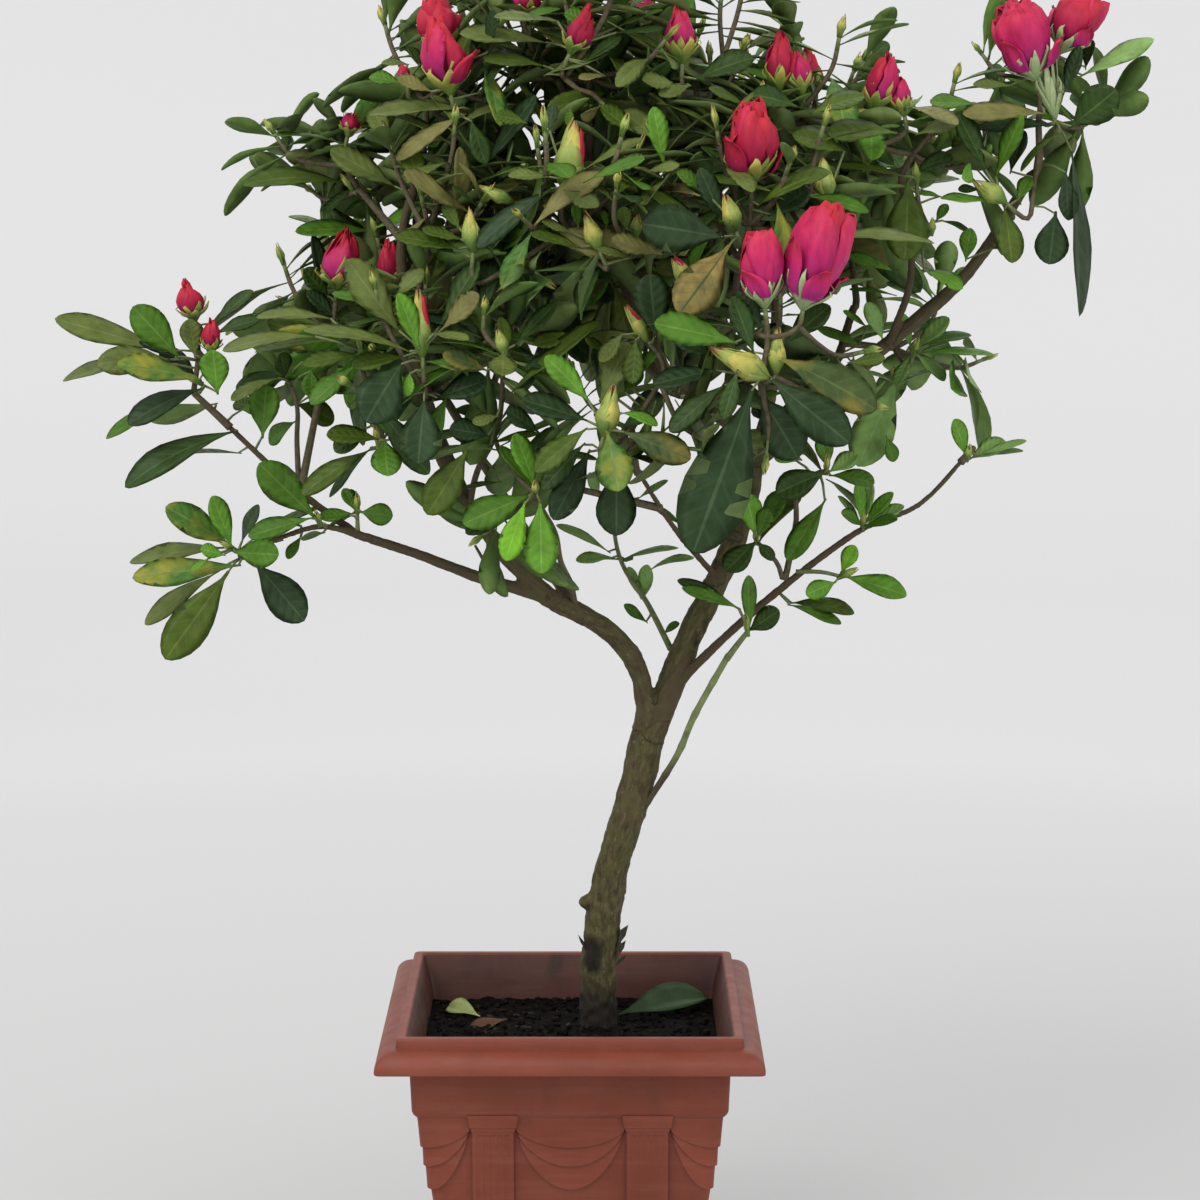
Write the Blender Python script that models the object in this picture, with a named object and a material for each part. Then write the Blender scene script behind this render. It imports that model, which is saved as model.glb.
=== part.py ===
"""Azalea bonsai in a square moulded pot, as separate closed solids.

The pot stands on the ground with its base centred on the origin, +Z up and the
front toward -Y. The trunk leans to the right out of the soil and forks into a
leader and a left bough, which carry the masses of foliage.
"""
import math
import random

import bmesh
import bpy
from mathutils import Vector
from mathutils.bvhtree import BVHTree

# Every size below is in millimetres and is scaled to metres when a mesh is made.
MM = 0.001
GAP = 0.3

# Pot: half widths of the square section and heights
POT_HEIGHT = 150.0
FOOT_HALF = 49.5
WALL_LEAN = 0.1594
WALL = 2.5
FLOOR = 3.0
CORNER = 2.2
CORNER_POINTS = 3
PLINTH_HEIGHT = 10.0
PLINTH_SLOPE = 2.0
PLINTH_PROUD = 1.5
BAND_BOTTOM = 111.3
BAND_TOP = 114.9
BAND_HALF = 69.6
NECK_TOP = 140.7
NECK_HALF = 70.7
THROAT_HALF = 67.7
LIP_HEIGHT = 135.7
LIP_HALF = 85.0
LIP_EDGE = 1.4
LIP_FLAT = 2.2
LIP_HOLLOW = (6.0, 2.5)
COLLAR_FOOT = 145.5
COLLAR_HALF = 76.0
COLLAR_ROUND = 1.2
MOUTH_HALF = 71.4
MOUTH_ROUND = 0.8
ROLL_STEPS = 4
HOLE_RADIUS = 4.0
HOLE_SIDES = 10
HOLE_OFFSET = 24.0

# Relief on the four faces: two columns with capitals and foot blocks, rooted in the wall
COLUMN_AT = 34.0
COLUMN_HALF = 9.1
COLUMN_PROUD = 1.6
CAPITAL_HALF = 11.3
CAPITAL_FOOT = 107.3
CAPITAL_TOP = 113.3
CAPITAL_PROUD = 2.3
CAPITAL_TOP_PROUD = 1.8
BLOCK_FOOT = 8.0
BLOCK_TOP = 14.0
RELIEF_STEP = 1.0
RELIEF_ROOT = -1.2

# Soil fills the pot to just under its collar
SOIL_TOP = 131.4
TRUNK_FOOT = SOIL_TOP + GAP

# Limbs: parent, points along the middle line, radius at the start and at the end
TRUNK_FLARE = 2.6
FLARE_FADE = 7.0
FLARE_RING = 4.0
LIMBS = {
    "trunk": (
        None,
        [(12, 15, TRUNK_FOOT), (13, 13, 162), (18, 9, 204), (30, 4, 247), (38, 0, 286)],
        9.3, 8.6,
    ),
    "leader": (
        "trunk",
        [(37, 1, 282), (46, 0, 301), (62, 2, 333), (76, 6, 364), (84, 10, 398)],
        8.4, 5.4,
    ),
    "left_bough": ("trunk", [(37, 0, 281), (29, -6, 302), (10, -15, 323), (-11, -22, 337)], 6.2, 5.0),
    "left_upper_bough": (
        "left_bough",
        [(-8, -21, 335), (-27, -28, 354), (-44, -36, 378), (-56, -50, 402)],
        4.6, 2.8,
    ),
    "left_low_branch": (
        "left_bough",
        [(-7, -21, 335), (-40, -28, 346), (-70, -32, 358), (-94, -34, 366)],
        3.4, 2.4,
    ),
    "left_tip_branch": (
        "left_low_branch",
        [(-92, -34, 365), (-114, -31, 382), (-132, -28, 402), (-149, -26, 424)],
        2.3, 1.8,
    ),
    "left_low_twig": ("left_low_branch", [(-88, -34, 364), (-108, -39, 370), (-128, -43, 365)], 2.0, 1.7),
    "upper_left_bough": (
        "left_upper_bough",
        [(-42, -34, 374), (-59, -27, 412), (-71, -17, 456), (-74, -13, 492), (-66, -12, 524)],
        3.4, 2.0,
    ),
    "centre_bough": ("leader", [(83, 9, 394), (70, 4, 412), (44, 2, 430), (20, 10, 448)], 4.2, 2.8),
    "top_bough": ("centre_bough", [(46, 1, 428), (28, -4, 464), (12, -4, 508), (8, 0, 545)], 3.0, 2.2),
    "front_bough": ("centre_bough", [(66, 3, 414), (66, -32, 424), (70, -70, 438)], 2.7, 2.1),
    "front_left_bough": ("leader", [(66, 3, 341), (46, -32, 368), (30, -66, 396)], 2.6, 1.9),
    "right_centre_bough": (
        "leader",
        [(83, 9, 393), (90, 4, 430), (92, -2, 475), (93, -6, 518)],
        3.4, 2.2,
    ),
    "right_bough": (
        "leader",
        [(83, 9, 394), (108, 18, 412), (136, 17, 440), (176, 2, 478), (203, -8, 522)],
        4.2, 2.4,
    ),
    "right_up_branch": ("right_bough", [(143, 15, 446), (151, 0, 478), (146, -8, 516)], 2.3, 1.8),
    "right_low_branch": (
        "trunk",
        [(37, 1, 276), (56, -7, 303), (92, -16, 338), (128, -10, 364), (156, 0, 375), (177, 9, 395)],
        2.9, 1.7,
    ),
    "green_shoot": ("trunk", [(30, 3, 236), (43, -14, 264), (58, -22, 293), (70, -26, 311)], 2.0, 1.6),
    "back_bough": ("leader", [(74, 5, 360), (62, 44, 402), (48, 82, 438)], 3.0, 2.2),
    "back_left_bough": ("left_bough", [(4, -17, 327), (-28, 20, 372), (-60, 58, 420)], 3.0, 2.1),
    "back_right_bough": ("right_bough", [(100, 15, 405), (120, 52, 430), (132, 82, 458)], 2.6, 2.0),
}
CUT_STUB = ([(16, 11, 187), (3, 11, 195)], 3.2, 2.6)

# How limbs are cut into rings and joined: a limb's own node starts where it is clear of its parent
CURVE_STEP = 3.0
LIMB_STEP = 16.0
STUB_STEP = 12.0
JOINT_MARGIN = 0.6
JOINT_SHARE = 0.9
JOIN_WAYS = (("EXACT", "BEAUTY"), ("EXACT", "EAR_CLIP"), ("MANIFOLD", "BEAUTY"), ("MANIFOLD", "EAR_CLIP"))

# Masses of foliage: limb, how far along it, centre, radii, number of shoots
MASSES = {
    "left_tip": ("left_tip_branch", 1.0, (-174, -26, 436), (70, 54, 46), 5),
    "left_low": ("left_low_twig", 1.0, (-152, -46, 352), (50, 46, 44), 2),
    "left_pair": ("left_tip_branch", 0.42, (-104, 2, 462), (56, 56, 52), 4),
    "left_front": ("left_upper_bough", 1.0, (-62, -78, 448), (58, 54, 60), 3),
    "drooping": ("front_left_bough", 0.7, (-18, -78, 396), (46, 46, 56), 2),
    "front_bud": ("front_left_bough", 1.0, (24, -106, 432), (54, 50, 64), 3),
    "front_pair": ("front_bough", 1.0, (90, -118, 452), (58, 52, 66), 3),
    "front_upper": ("front_bough", 0.75, (74, -76, 526), (58, 54, 50), 3),
    "centre_bud": ("top_bough", 0.45, (2, -82, 510), (56, 54, 52), 2),
    "middle_left": ("upper_left_bough", 0.55, (-54, -46, 512), (54, 52, 50), 3),
    "upper_left": ("upper_left_bough", 1.0, (-60, -14, 570), (54, 54, 50), 2),
    "upper_left_tip": ("upper_left_bough", 0.8, (-106, 4, 530), (52, 54, 46), 2),
    "top_left": ("top_bough", 0.85, (-16, 22, 588), (52, 52, 42), 2),
    "top_middle": ("top_bough", 1.0, (10, -38, 576), (50, 50, 48), 2),
    "top_right": ("right_centre_bough", 0.6, (58, -4, 580), (52, 54, 48), 2),
    "right_first": ("right_centre_bough", 1.0, (108, -10, 562), (50, 54, 48), 2),
    "right_second": ("right_up_branch", 1.0, (152, -14, 540), (52, 52, 54), 3),
    "right_middle": ("right_bough", 0.8, (190, -16, 490), (48, 50, 46), 3),
    "right_top": ("right_bough", 1.0, (206, -10, 560), (56, 54, 58), 3),
    "right_behind": ("back_right_bough", 0.75, (166, 72, 438), (50, 52, 46), 2),
    "right_low_tip": ("right_low_branch", 1.0, (184, 14, 402), (34, 34, 28), 1),
    "right_low": ("right_low_branch", 0.62, (130, -18, 384), (52, 46, 44), 3),
    "right_low_base": ("green_shoot", 1.0, (80, -30, 334), (46, 42, 32), 2),
    "stem_shoot": ("leader", 0.28, (22, 36, 352), (38, 38, 44), 1),
    "back_left": ("back_left_bough", 1.0, (-92, 84, 462), (60, 58, 52), 3),
    "back_middle_left": ("back_left_bough", 0.75, (-20, 112, 478), (60, 58, 54), 3),
    "back_middle": ("back_bough", 1.0, (58, 130, 480), (60, 58, 54), 3),
    "back_right": ("back_right_bough", 1.0, (130, 108, 504), (60, 58, 54), 3),
    "back_upper_left": ("upper_left_bough", 0.7, (-42, 70, 542), (60, 58, 50), 3),
    "back_upper": ("back_bough", 0.75, (34, 72, 566), (56, 56, 54), 2),
    "back_upper_right": ("right_centre_bough", 0.8, (102, 60, 546), (54, 56, 48), 3),
    "inner_middle": ("centre_bough", 1.0, (8, 22, 482), (54, 52, 48), 2),
}

# Shoots whose place is known: mass, tip and what sits on it
LEADS = (
    ("left_tip", (-167, -24, 456), "half"),
    ("left_tip", (-154, -32, 441), "half"),
    ("left_tip", (-208, -26, 432), "leafy"),
    ("left_low", (-150, -45, 357), "leafy"),
    ("left_pair", (-122, -14, 444), "leafy"),
    ("left_pair", (-98, 6, 474), "blossom"),
    ("left_front", (-62, -72, 460), "half"),
    ("left_front", (-32, -66, 438), "leafy"),
    ("drooping", (-17, -80, 384), "leafy"),
    ("front_bud", (16, -100, 419), "bud"),
    ("front_pair", (78, -124, 472), "blossom"),
    ("front_pair", (104, -120, 470), "blossom"),
    ("front_pair", (66, -126, 444), "bud"),
    ("front_upper", (72, -80, 521), "blossom"),
    ("centre_bud", (0, -74, 521), "half"),
    ("centre_bud", (16, -94, 494), "bud"),
    ("upper_left", (-50, -26, 565), "blossom"),
    ("upper_left_tip", (-97, -8, 536), "half"),
    ("top_left", (-22, 8, 590), "blossom"),
    ("top_middle", (5, -42, 577), "half"),
    ("top_right", (48, -10, 573), "blossom"),
    ("middle_left", (-42, -52, 502), "bud"),
    ("right_first", (96, -12, 558), "blossom"),
    ("right_second", (142, -12, 551), "blossom"),
    ("right_middle", (182, -22, 510), "bud"),
    ("right_top", (196, -14, 556), "blossom"),
    ("right_top", (216, -12, 560), "blossom"),
    ("right_low_tip", (180, 10, 404), "leafy"),
    ("stem_shoot", (24, 34, 352), "leafy"),
    ("back_middle", (60, 140, 490), "blossom"),
    ("back_left", (-96, 96, 468), "half"),
    ("back_right", (134, 116, 514), "half"),
    ("back_upper", (30, 76, 576), "blossom"),
)

# Stems and twigs: a stem runs from its limb to a hub, where the twigs fork
STEM_RADIUS = (1.8, 1.5)
STEM_SHARE = 0.9
STEM_STRAIGHT = (2.0, 5.0)
STEM_SIDES = 4
SPUR_RISE = 0.3
HUB_SHARE = 0.4
HUB_STEP = 0.04
HUB_MARGIN = 4.0
TWIG_RADIUS = (1.8, 1.6)
TWIG_SIDES = 3
FORKS = (0.6, 0.8, 1.0)
NECK_LENGTH = 15.0
NECK_SHARE = 0.7
OUTWARD, UPWARD, ONWARD = 0.02, 0.9, 0.8
SPACE_GAP = 0.5
LIMB_CLEAR = 0.7

# Shoots that are not leads: tries for each, how far out they sit and how clear of their neighbours
TRIES = 60
SHOOT_REACH = (0.3, 0.62)
SHOOT_MARGIN = 7.0

# Leaves: lengths and angles, spread round the twig below its tip
LEAVES_PER_SHOOT = 6
LEAF_SPACING = 2.3
LEAF_SEAT = 3.2
LEAF_SUNK = 0.4
LEAF_LENGTH = (40.0, 54.0)
LEAF_SHRINK = 0.2
LEAF_LIFT = (-4.0, 30.0)
LEAF_STRAY = 8.0
LEAF_WIDTH = 0.48
LEAF_WIDEST = 0.58
LEAF_THICK = 1.0
LEAF_ARCH = 0.07
LEAF_SIZES = (1.0, 0.84, 0.7)
LEAF_TURNS = (0.0, 32.0, -32.0)
GOLDEN_ANGLE = math.radians(137.5)

# Buds and blossoms: length, radius, sides, then share of the length and of the radius at each ring
BUD_RINGS = ((0.0, 0.45), (0.4, 1.0), (1.0, 0.12))
CUP_RINGS = ((0.0, 0.3), (0.35, 0.8), (0.75, 1.0), (1.0, 0.6))
HEADS = {
    "blossom": (30.0, 12.0, 6, CUP_RINGS),
    "half": (20.0, 6.0, 4, BUD_RINGS),
    "bud": (20.0, 4.5, 4, BUD_RINGS),
}
HEAD_SIZES = (1.0, 0.85, 0.7)
HEAD_SUNK = 1.2
SEED = 41

COLOURS = {
    "pot": (0.30, 0.09, 0.06, 0.5),
    "soil": (0.03, 0.02, 0.015, 0.95),
    "bark": (0.13, 0.10, 0.06, 0.85),
    "young_bark": (0.22, 0.30, 0.10, 0.7),
    "foliage": (0.05, 0.11, 0.035, 0.55),
}


def clear_scene():
    for old in list(bpy.data.objects):
        bpy.data.objects.remove(old)


def material(name):
    """The Principled material of this name, made on first use."""
    found = bpy.data.materials.get(name)
    if found:
        return found
    red, green, blue, roughness = COLOURS[name]
    made = bpy.data.materials.new(name)
    made.use_nodes = True
    shader = made.node_tree.nodes["Principled BSDF"]
    shader.inputs["Base Color"].default_value = (red, green, blue, 1.0)
    shader.inputs["Roughness"].default_value = roughness
    shader.inputs["Metallic"].default_value = 0.0
    return made


def add_object(name, solid, colour):
    """One object from a solid, which is a list of points in mm and a list of faces."""
    points, faces = solid
    mesh = bpy.data.meshes.new(name)
    mesh.from_pydata([Vector(point) * MM for point in points], [], faces)
    shape = bmesh.new()
    shape.from_mesh(mesh)
    bmesh.ops.recalc_face_normals(shape, faces=shape.faces)
    shape.to_mesh(mesh)
    shape.free()
    mesh.materials.append(material(colour))
    made = bpy.data.objects.new(name, mesh)
    bpy.context.scene.collection.objects.link(made)
    return made


def apply_boolean(target, others, operation, solver):
    group = bpy.data.collections.new(target.name + "_pieces")
    bpy.context.scene.collection.children.link(group)
    for other in others:
        group.objects.link(other)
    join = target.modifiers.new("join", "BOOLEAN")
    join.operation = operation
    join.operand_type = "COLLECTION"
    join.collection = group
    join.solver = solver
    bpy.context.view_layer.objects.active = target
    bpy.ops.object.modifier_apply(modifier=join.name)
    bpy.data.collections.remove(group)


def remove_objects(objects):
    for old in objects:
        mesh = old.data
        bpy.data.objects.remove(old)
        bpy.data.meshes.remove(mesh)


def islands(shape):
    """The faces of each connected body in a mesh."""
    left = set(shape.faces)
    found = []
    while left:
        body = [left.pop()]
        for face in body:
            for edge in face.edges:
                for near in edge.link_faces:
                    if near in left:
                        left.remove(near)
                        body.append(near)
        found.append(body)
    return found


def body_volume(faces):
    total = 0.0
    for face in faces:
        a, b, c = (vertex.co for vertex in face.verts)
        total += a.dot(b.cross(c)) / 6.0
    return total


def keep_outer_body(target, cutting):
    """Drops loose scraps and fills hollows. True if one closed body is left."""
    shape = bmesh.new()
    shape.from_mesh(target.data)
    bmesh.ops.triangulate(shape, faces=shape.faces, ngon_method=cutting)
    bodies = sorted(islands(shape), key=body_volume)
    spare = [face for body in bodies[:-1] for face in body]
    bmesh.ops.delete(shape, geom=spare, context="FACES")
    closed = all(len(edge.link_faces) == 2 for edge in shape.edges)
    shape.to_mesh(target.data)
    shape.free()
    return closed


def fuse(name, solids, colour):
    """One closed object that joins overlapping solids, the first of which carries the rest."""
    for solver, cutting in JOIN_WAYS:
        target = add_object(name, solids[0], colour)
        others = [add_object(name + "_part", solid, colour) for solid in solids[1:]]
        if others:
            apply_boolean(target, others, "UNION", solver)
            remove_objects(others)
        if keep_outer_body(target, cutting):
            return target
        remove_objects([target])
    raise ValueError(name + " does not close")


def smooth_line(points, step):
    """Points about one step apart on a Catmull-Rom curve through the given ones."""
    given = [Vector(point) for point in points]
    before = given[0] * 2 - given[1]
    after = given[-1] * 2 - given[-2]
    ends = [before] + given + [after]
    line = [given[0]]
    for i in range(1, len(ends) - 2):
        a, b, c, d = ends[i - 1:i + 3]
        count = max(2, round((c - b).length / step))
        for k in range(1, count + 1):
            t = k / count
            curve = b * 2 + (c - a) * t
            curve += (a * 2 - b * 5 + c * 4 - d) * t ** 2
            curve += (b * 3 - a - c * 3 + d) * t ** 3
            line.append(curve * 0.5)
    return line


class Limb:
    """A tapering round limb along a smooth line."""

    def __init__(self, name, parent, points, start_radius, end_radius, bent=True):
        self.name = name
        self.parent = parent
        self.line = smooth_line(points, CURVE_STEP) if bent else points
        self.radii = (start_radius, end_radius)
        self.lengths = [0.0]
        for a, b in zip(self.line, self.line[1:]):
            self.lengths.append(self.lengths[-1] + (b - a).length)
        self.length = self.lengths[-1]
        self.joint = 0.0

    def at(self, where):
        """The point this far along, straight on past either end."""
        last = len(self.lengths) - 2
        i = 0
        while i < last and self.lengths[i + 1] < where:
            i += 1
        share = (where - self.lengths[i]) / (self.lengths[i + 1] - self.lengths[i])
        return self.line[i].lerp(self.line[i + 1], share)

    def heading(self, where):
        return (self.at(where + 0.5) - self.at(where - 0.5)).normalized()

    def radius(self, where):
        share = min(1.0, max(0.0, where / self.length))
        size = self.radii[0] + (self.radii[1] - self.radii[0]) * share
        if self.parent is None:
            size += TRUNK_FLARE * math.exp(-where / FLARE_FADE)
        return size

    def clearance(self, point):
        """How far a point lies outside this limb."""
        return min((here - point).length - self.radius(where) for here, where in zip(self.line, self.lengths))


def spaced(start, end, step):
    """Distances from start to end, about one step apart."""
    rows = max(1, round((end - start) / step))
    return [start + (end - start) * i / rows for i in range(rows + 1)]


def tube(limb, stations, sides, extra=0.0):
    """A closed solid with flat ends and a ring at each distance along a limb."""
    side = Vector((1.0, 0.0, 0.0))
    rings = []
    for where in stations:
        along = limb.heading(where)
        if limb.parent is None and where == 0.0:
            along = Vector((0.0, 0.0, 1.0))
        side = (side - along * side.dot(along)).normalized()
        over = along.cross(side)
        size = limb.radius(where) + extra
        turns = [math.tau * k / sides for k in range(sides)]
        ring = [(side * math.cos(turn) + over * math.sin(turn)) * size for turn in turns]
        rings.append([limb.at(where) + away for away in ring])
    return loft(rings)


def sides_for(radius):
    if radius > 5.0:
        return 8
    return 6 if radius > 2.5 else 5


def joint_length(limb, others):
    """How much of a limb belongs to its parent, so that the rest clears the others."""
    where = 0.0
    while where < limb.length * JOINT_SHARE:
        tip = limb.at(where)
        free = min(other.clearance(tip) for other in others)
        if free > limb.radius(where) + JOINT_MARGIN:
            break
        where += 1.0
    return where


def square_ring(half, height, corner=CORNER):
    """A square with rounded corners at one height."""
    ring = []
    for quarter in range(4):
        middle = math.radians(45 + 90 * quarter)
        centre_x = math.copysign(half - corner, math.cos(middle))
        centre_y = math.copysign(half - corner, math.sin(middle))
        for k in range(CORNER_POINTS):
            turn = middle + math.radians(45) * (2 * k / (CORNER_POINTS - 1) - 1)
            ring.append((centre_x + corner * math.cos(turn), centre_y + corner * math.sin(turn), height))
    return ring


def loft(rings):
    """A solid with flat ends through rings of equal count."""
    count = len(rings[0])
    faces = []
    for row in range(len(rings) - 1):
        low = row * count
        for k in range(count):
            after = (k + 1) % count
            faces.append([low + k, low + after, low + count + after, low + count + k])
    faces.append(list(range(count))[::-1])
    faces.append(list(range((len(rings) - 1) * count, len(rings) * count)))
    return [point for ring in rings for point in ring], faces


def wall_half(height):
    return FOOT_HALF + WALL_LEAN * height


def cavity_half(height):
    """Half width of the inside of the pot."""
    bend = wall_half(BAND_BOTTOM) - WALL
    if height <= BAND_BOTTOM:
        return wall_half(height) - WALL
    if height <= LIP_HEIGHT:
        share = (height - BAND_BOTTOM) / (LIP_HEIGHT - BAND_BOTTOM)
        return bend + (THROAT_HALF - bend) * share
    share = (height - LIP_HEIGHT) / (POT_HEIGHT - MOUTH_ROUND - LIP_HEIGHT)
    return THROAT_HALF + (MOUTH_HALF - THROAT_HALF) * share


def pot_outline():
    """Half widths and heights up the outside, over the rim and down the inside."""
    outline = [
        (FOOT_HALF + PLINTH_PROUD, 0.0),
        (wall_half(PLINTH_HEIGHT) + PLINTH_PROUD, PLINTH_HEIGHT),
        (wall_half(PLINTH_HEIGHT + PLINTH_SLOPE), PLINTH_HEIGHT + PLINTH_SLOPE),
        (wall_half(BAND_BOTTOM), BAND_BOTTOM),
        (BAND_HALF, BAND_TOP),
        (NECK_HALF, NECK_TOP),
        (LIP_HALF - LIP_HOLLOW[0], LIP_HEIGHT + LIP_HOLLOW[1]),
        (LIP_HALF - LIP_FLAT, LIP_HEIGHT),
        (LIP_HALF, LIP_HEIGHT),
    ]
    roll_foot = LIP_HEIGHT + LIP_EDGE
    for k in range(ROLL_STEPS + 1):
        turn = math.radians(90) * k / ROLL_STEPS
        half = COLLAR_HALF + (LIP_HALF - COLLAR_HALF) * math.cos(turn)
        outline.append((half, roll_foot + (COLLAR_FOOT - roll_foot) * math.sin(turn)))
    outline += [
        (COLLAR_HALF, POT_HEIGHT - COLLAR_ROUND),
        (COLLAR_HALF - COLLAR_ROUND, POT_HEIGHT),
        (MOUTH_HALF + MOUTH_ROUND, POT_HEIGHT),
        (MOUTH_HALF, POT_HEIGHT - MOUTH_ROUND),
    ]
    return outline + [(cavity_half(height), height) for height in (LIP_HEIGHT, BAND_BOTTOM, FLOOR)]


def on_face(quarter, across, depth, height):
    """A point this far across one of the four faces and this far out from the middle."""
    turn = math.radians(90 * quarter)
    x = across * math.cos(turn) + depth * math.sin(turn)
    y = across * math.sin(turn) - depth * math.cos(turn)
    return (x, y, height)


def column(quarter, across):
    """A column with its capital and foot block, standing proud of one face."""
    levels = [
        (BLOCK_FOOT, CAPITAL_HALF, CAPITAL_PROUD),
        (BLOCK_TOP, CAPITAL_HALF, CAPITAL_PROUD),
        (BLOCK_TOP + RELIEF_STEP, COLUMN_HALF, COLUMN_PROUD),
        (CAPITAL_FOOT - RELIEF_STEP, COLUMN_HALF, COLUMN_PROUD),
        (CAPITAL_FOOT, CAPITAL_HALF, CAPITAL_PROUD),
        (CAPITAL_TOP, CAPITAL_HALF, CAPITAL_TOP_PROUD),
    ]
    rings = []
    for height, half, proud in levels:
        corners = ((-half, RELIEF_ROOT), (half, RELIEF_ROOT), (half, proud), (-half, proud))
        rings.append([on_face(quarter, across + x, wall_half(height) + out, height) for x, out in corners])
    return loft(rings)


def drain_hole(x, y):
    """A round cutter that runs past both faces of the floor."""
    turns = [math.tau * k / HOLE_SIDES for k in range(HOLE_SIDES)]
    circle = [(x + HOLE_RADIUS * math.cos(turn), y + HOLE_RADIUS * math.sin(turn)) for turn in turns]
    return loft([[(*point, height) for point in circle] for height in (-FLOOR, FLOOR * 2)])


def build_pot():
    shell = loft([square_ring(half, height) for half, height in pot_outline()])
    columns = [column(quarter, side * COLUMN_AT) for quarter in range(4) for side in (-1, 1)]
    pot = fuse("pot", [shell] + columns, "pot")
    corners = [(x, y) for x in (-HOLE_OFFSET, HOLE_OFFSET) for y in (-HOLE_OFFSET, HOLE_OFFSET)]
    cutters = [add_object("hole", drain_hole(x, y), "pot") for x, y in corners]
    apply_boolean(pot, cutters, "DIFFERENCE", "EXACT")
    remove_objects(cutters)


def build_soil():
    heights = (FLOOR + GAP, BAND_BOTTOM, SOIL_TOP)
    rings = [square_ring(cavity_half(height) - GAP, height) for height in heights]
    add_object("soil", loft(rings), "soil")


class Mass:
    """One mass of foliage: its space, its shoots and the stem that carries it."""

    def __init__(self, name, limb, share, centre, radii, shoots):
        self.name = name
        self.limb = limb
        self.start = limb.length * share
        self.at_tip = share == 1.0
        self.centre = Vector(centre)
        self.reach = Vector(radii)
        self.shoots = shoots
        self.leads = [(Vector(tip), head) for owner, tip, head in LEADS if owner == name]

    def size_toward(self, way):
        """Half the width of the mass in a direction."""
        return Vector(a * b for a, b in zip(way, self.reach)).length

    def share_space(self, others):
        """The planes that part this mass from its neighbours."""
        self.planes = []
        for other in others:
            if other is self:
                continue
            way = other.centre - self.centre
            distance = way.length
            way.normalize()
            share = self.size_toward(way) / (self.size_toward(way) + other.size_toward(way))
            self.planes.append((way, distance * share - SPACE_GAP))

    def holds(self, points, margin=0.0):
        for point in points:
            offset = Vector(point) - self.centre
            if sum((a / b) ** 2 for a, b in zip(offset, self.reach)) > 1.0:
                return False
            for way, most in self.planes:
                if offset.dot(way) > most - margin:
                    return False
        return True

    def add_stem(self):
        """The stem from the limb to a hub inside the space, where the twigs start."""
        start = self.limb.at(self.start)
        share = HUB_SHARE
        while share > 0.0 and not self.holds([self.centre.lerp(start, share)], HUB_MARGIN):
            share -= HUB_STEP
        hub = self.centre.lerp(start, share)
        line = [start, start.lerp(hub, SPUR_RISE), hub]
        if self.at_tip:
            ahead = self.limb.heading(self.start)
            line = [start] + [start + ahead * far for far in STEM_STRAIGHT] + [hub]
        widest = self.limb.radius(self.start) * STEM_SHARE
        self.stem = Limb(self.name, self.limb, line, min(STEM_RADIUS[0], widest), STEM_RADIUS[1])


def leaf(root, along, up, length):
    """A thin arched blade of eight faces that starts at its root."""
    across = along.cross(up).normalized()
    up = across.cross(along)
    half = across * length * LEAF_WIDTH / 2
    widest = root + along * length * LEAF_WIDEST + up * length * LEAF_ARCH
    points = [
        root - up * LEAF_THICK * 0.5,
        root + up * LEAF_THICK * 0.5,
        root + along * length,
        widest + half,
        widest - half,
        widest + up * LEAF_THICK,
    ]
    faces = [(0, 4, 3), (3, 4, 2), (1, 3, 5), (1, 5, 4), (5, 3, 2), (5, 2, 4), (0, 3, 1), (0, 1, 4)]
    return points, faces


def head(tip, along, kind, scale):
    """A bud or a half open blossom on the end of a shoot."""
    length, radius, sides, rings = HEADS[kind]
    side = along.orthogonal().normalized() * radius * scale
    over = along.cross(side)
    turns = [math.tau * k / sides for k in range(sides)]
    around = [side * math.cos(turn) + over * math.sin(turn) for turn in turns]
    levels = [(tip + along * (length * scale * rise - HEAD_SUNK), wide) for rise, wide in rings]
    return loft([[middle + away * wide for away in around] for middle, wide in levels])


def shoot_tips(mass, chance):
    """Known tips first, then others spread as far apart as the space allows."""
    tips = list(mass.leads)
    hub = mass.stem.line[-1]
    while len(tips) < mass.shoots:
        best = None
        for _ in range(TRIES):
            way = Vector(chance.gauss(0, 1) for _ in range(3)).normalized()
            away = chance.uniform(*SHOOT_REACH)
            tip = mass.centre + Vector(a * b * away for a, b in zip(way, mass.reach))
            if not mass.holds([tip], SHOOT_MARGIN):
                continue
            apart = min([(tip - other).length for other, _ in tips] + [(tip - hub).length])
            if best is None or apart > best[0]:
                best = (apart, tip)
        if best is None:
            break
        tips.append((best[1], "leafy"))
    return tips


def joined(solids):
    """Several solids as one list of points and one of faces."""
    points = []
    faces = []
    for more_points, more_faces in solids:
        faces += [[i + len(points) for i in face] for face in more_faces]
        points += more_points
    return points, faces


def tree_of(solids):
    return BVHTree.FromPolygons(*joined(solids))


def blocked(solid, barriers):
    own = tree_of([solid])
    return any(barrier.overlap(own) for barrier in barriers)


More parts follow.
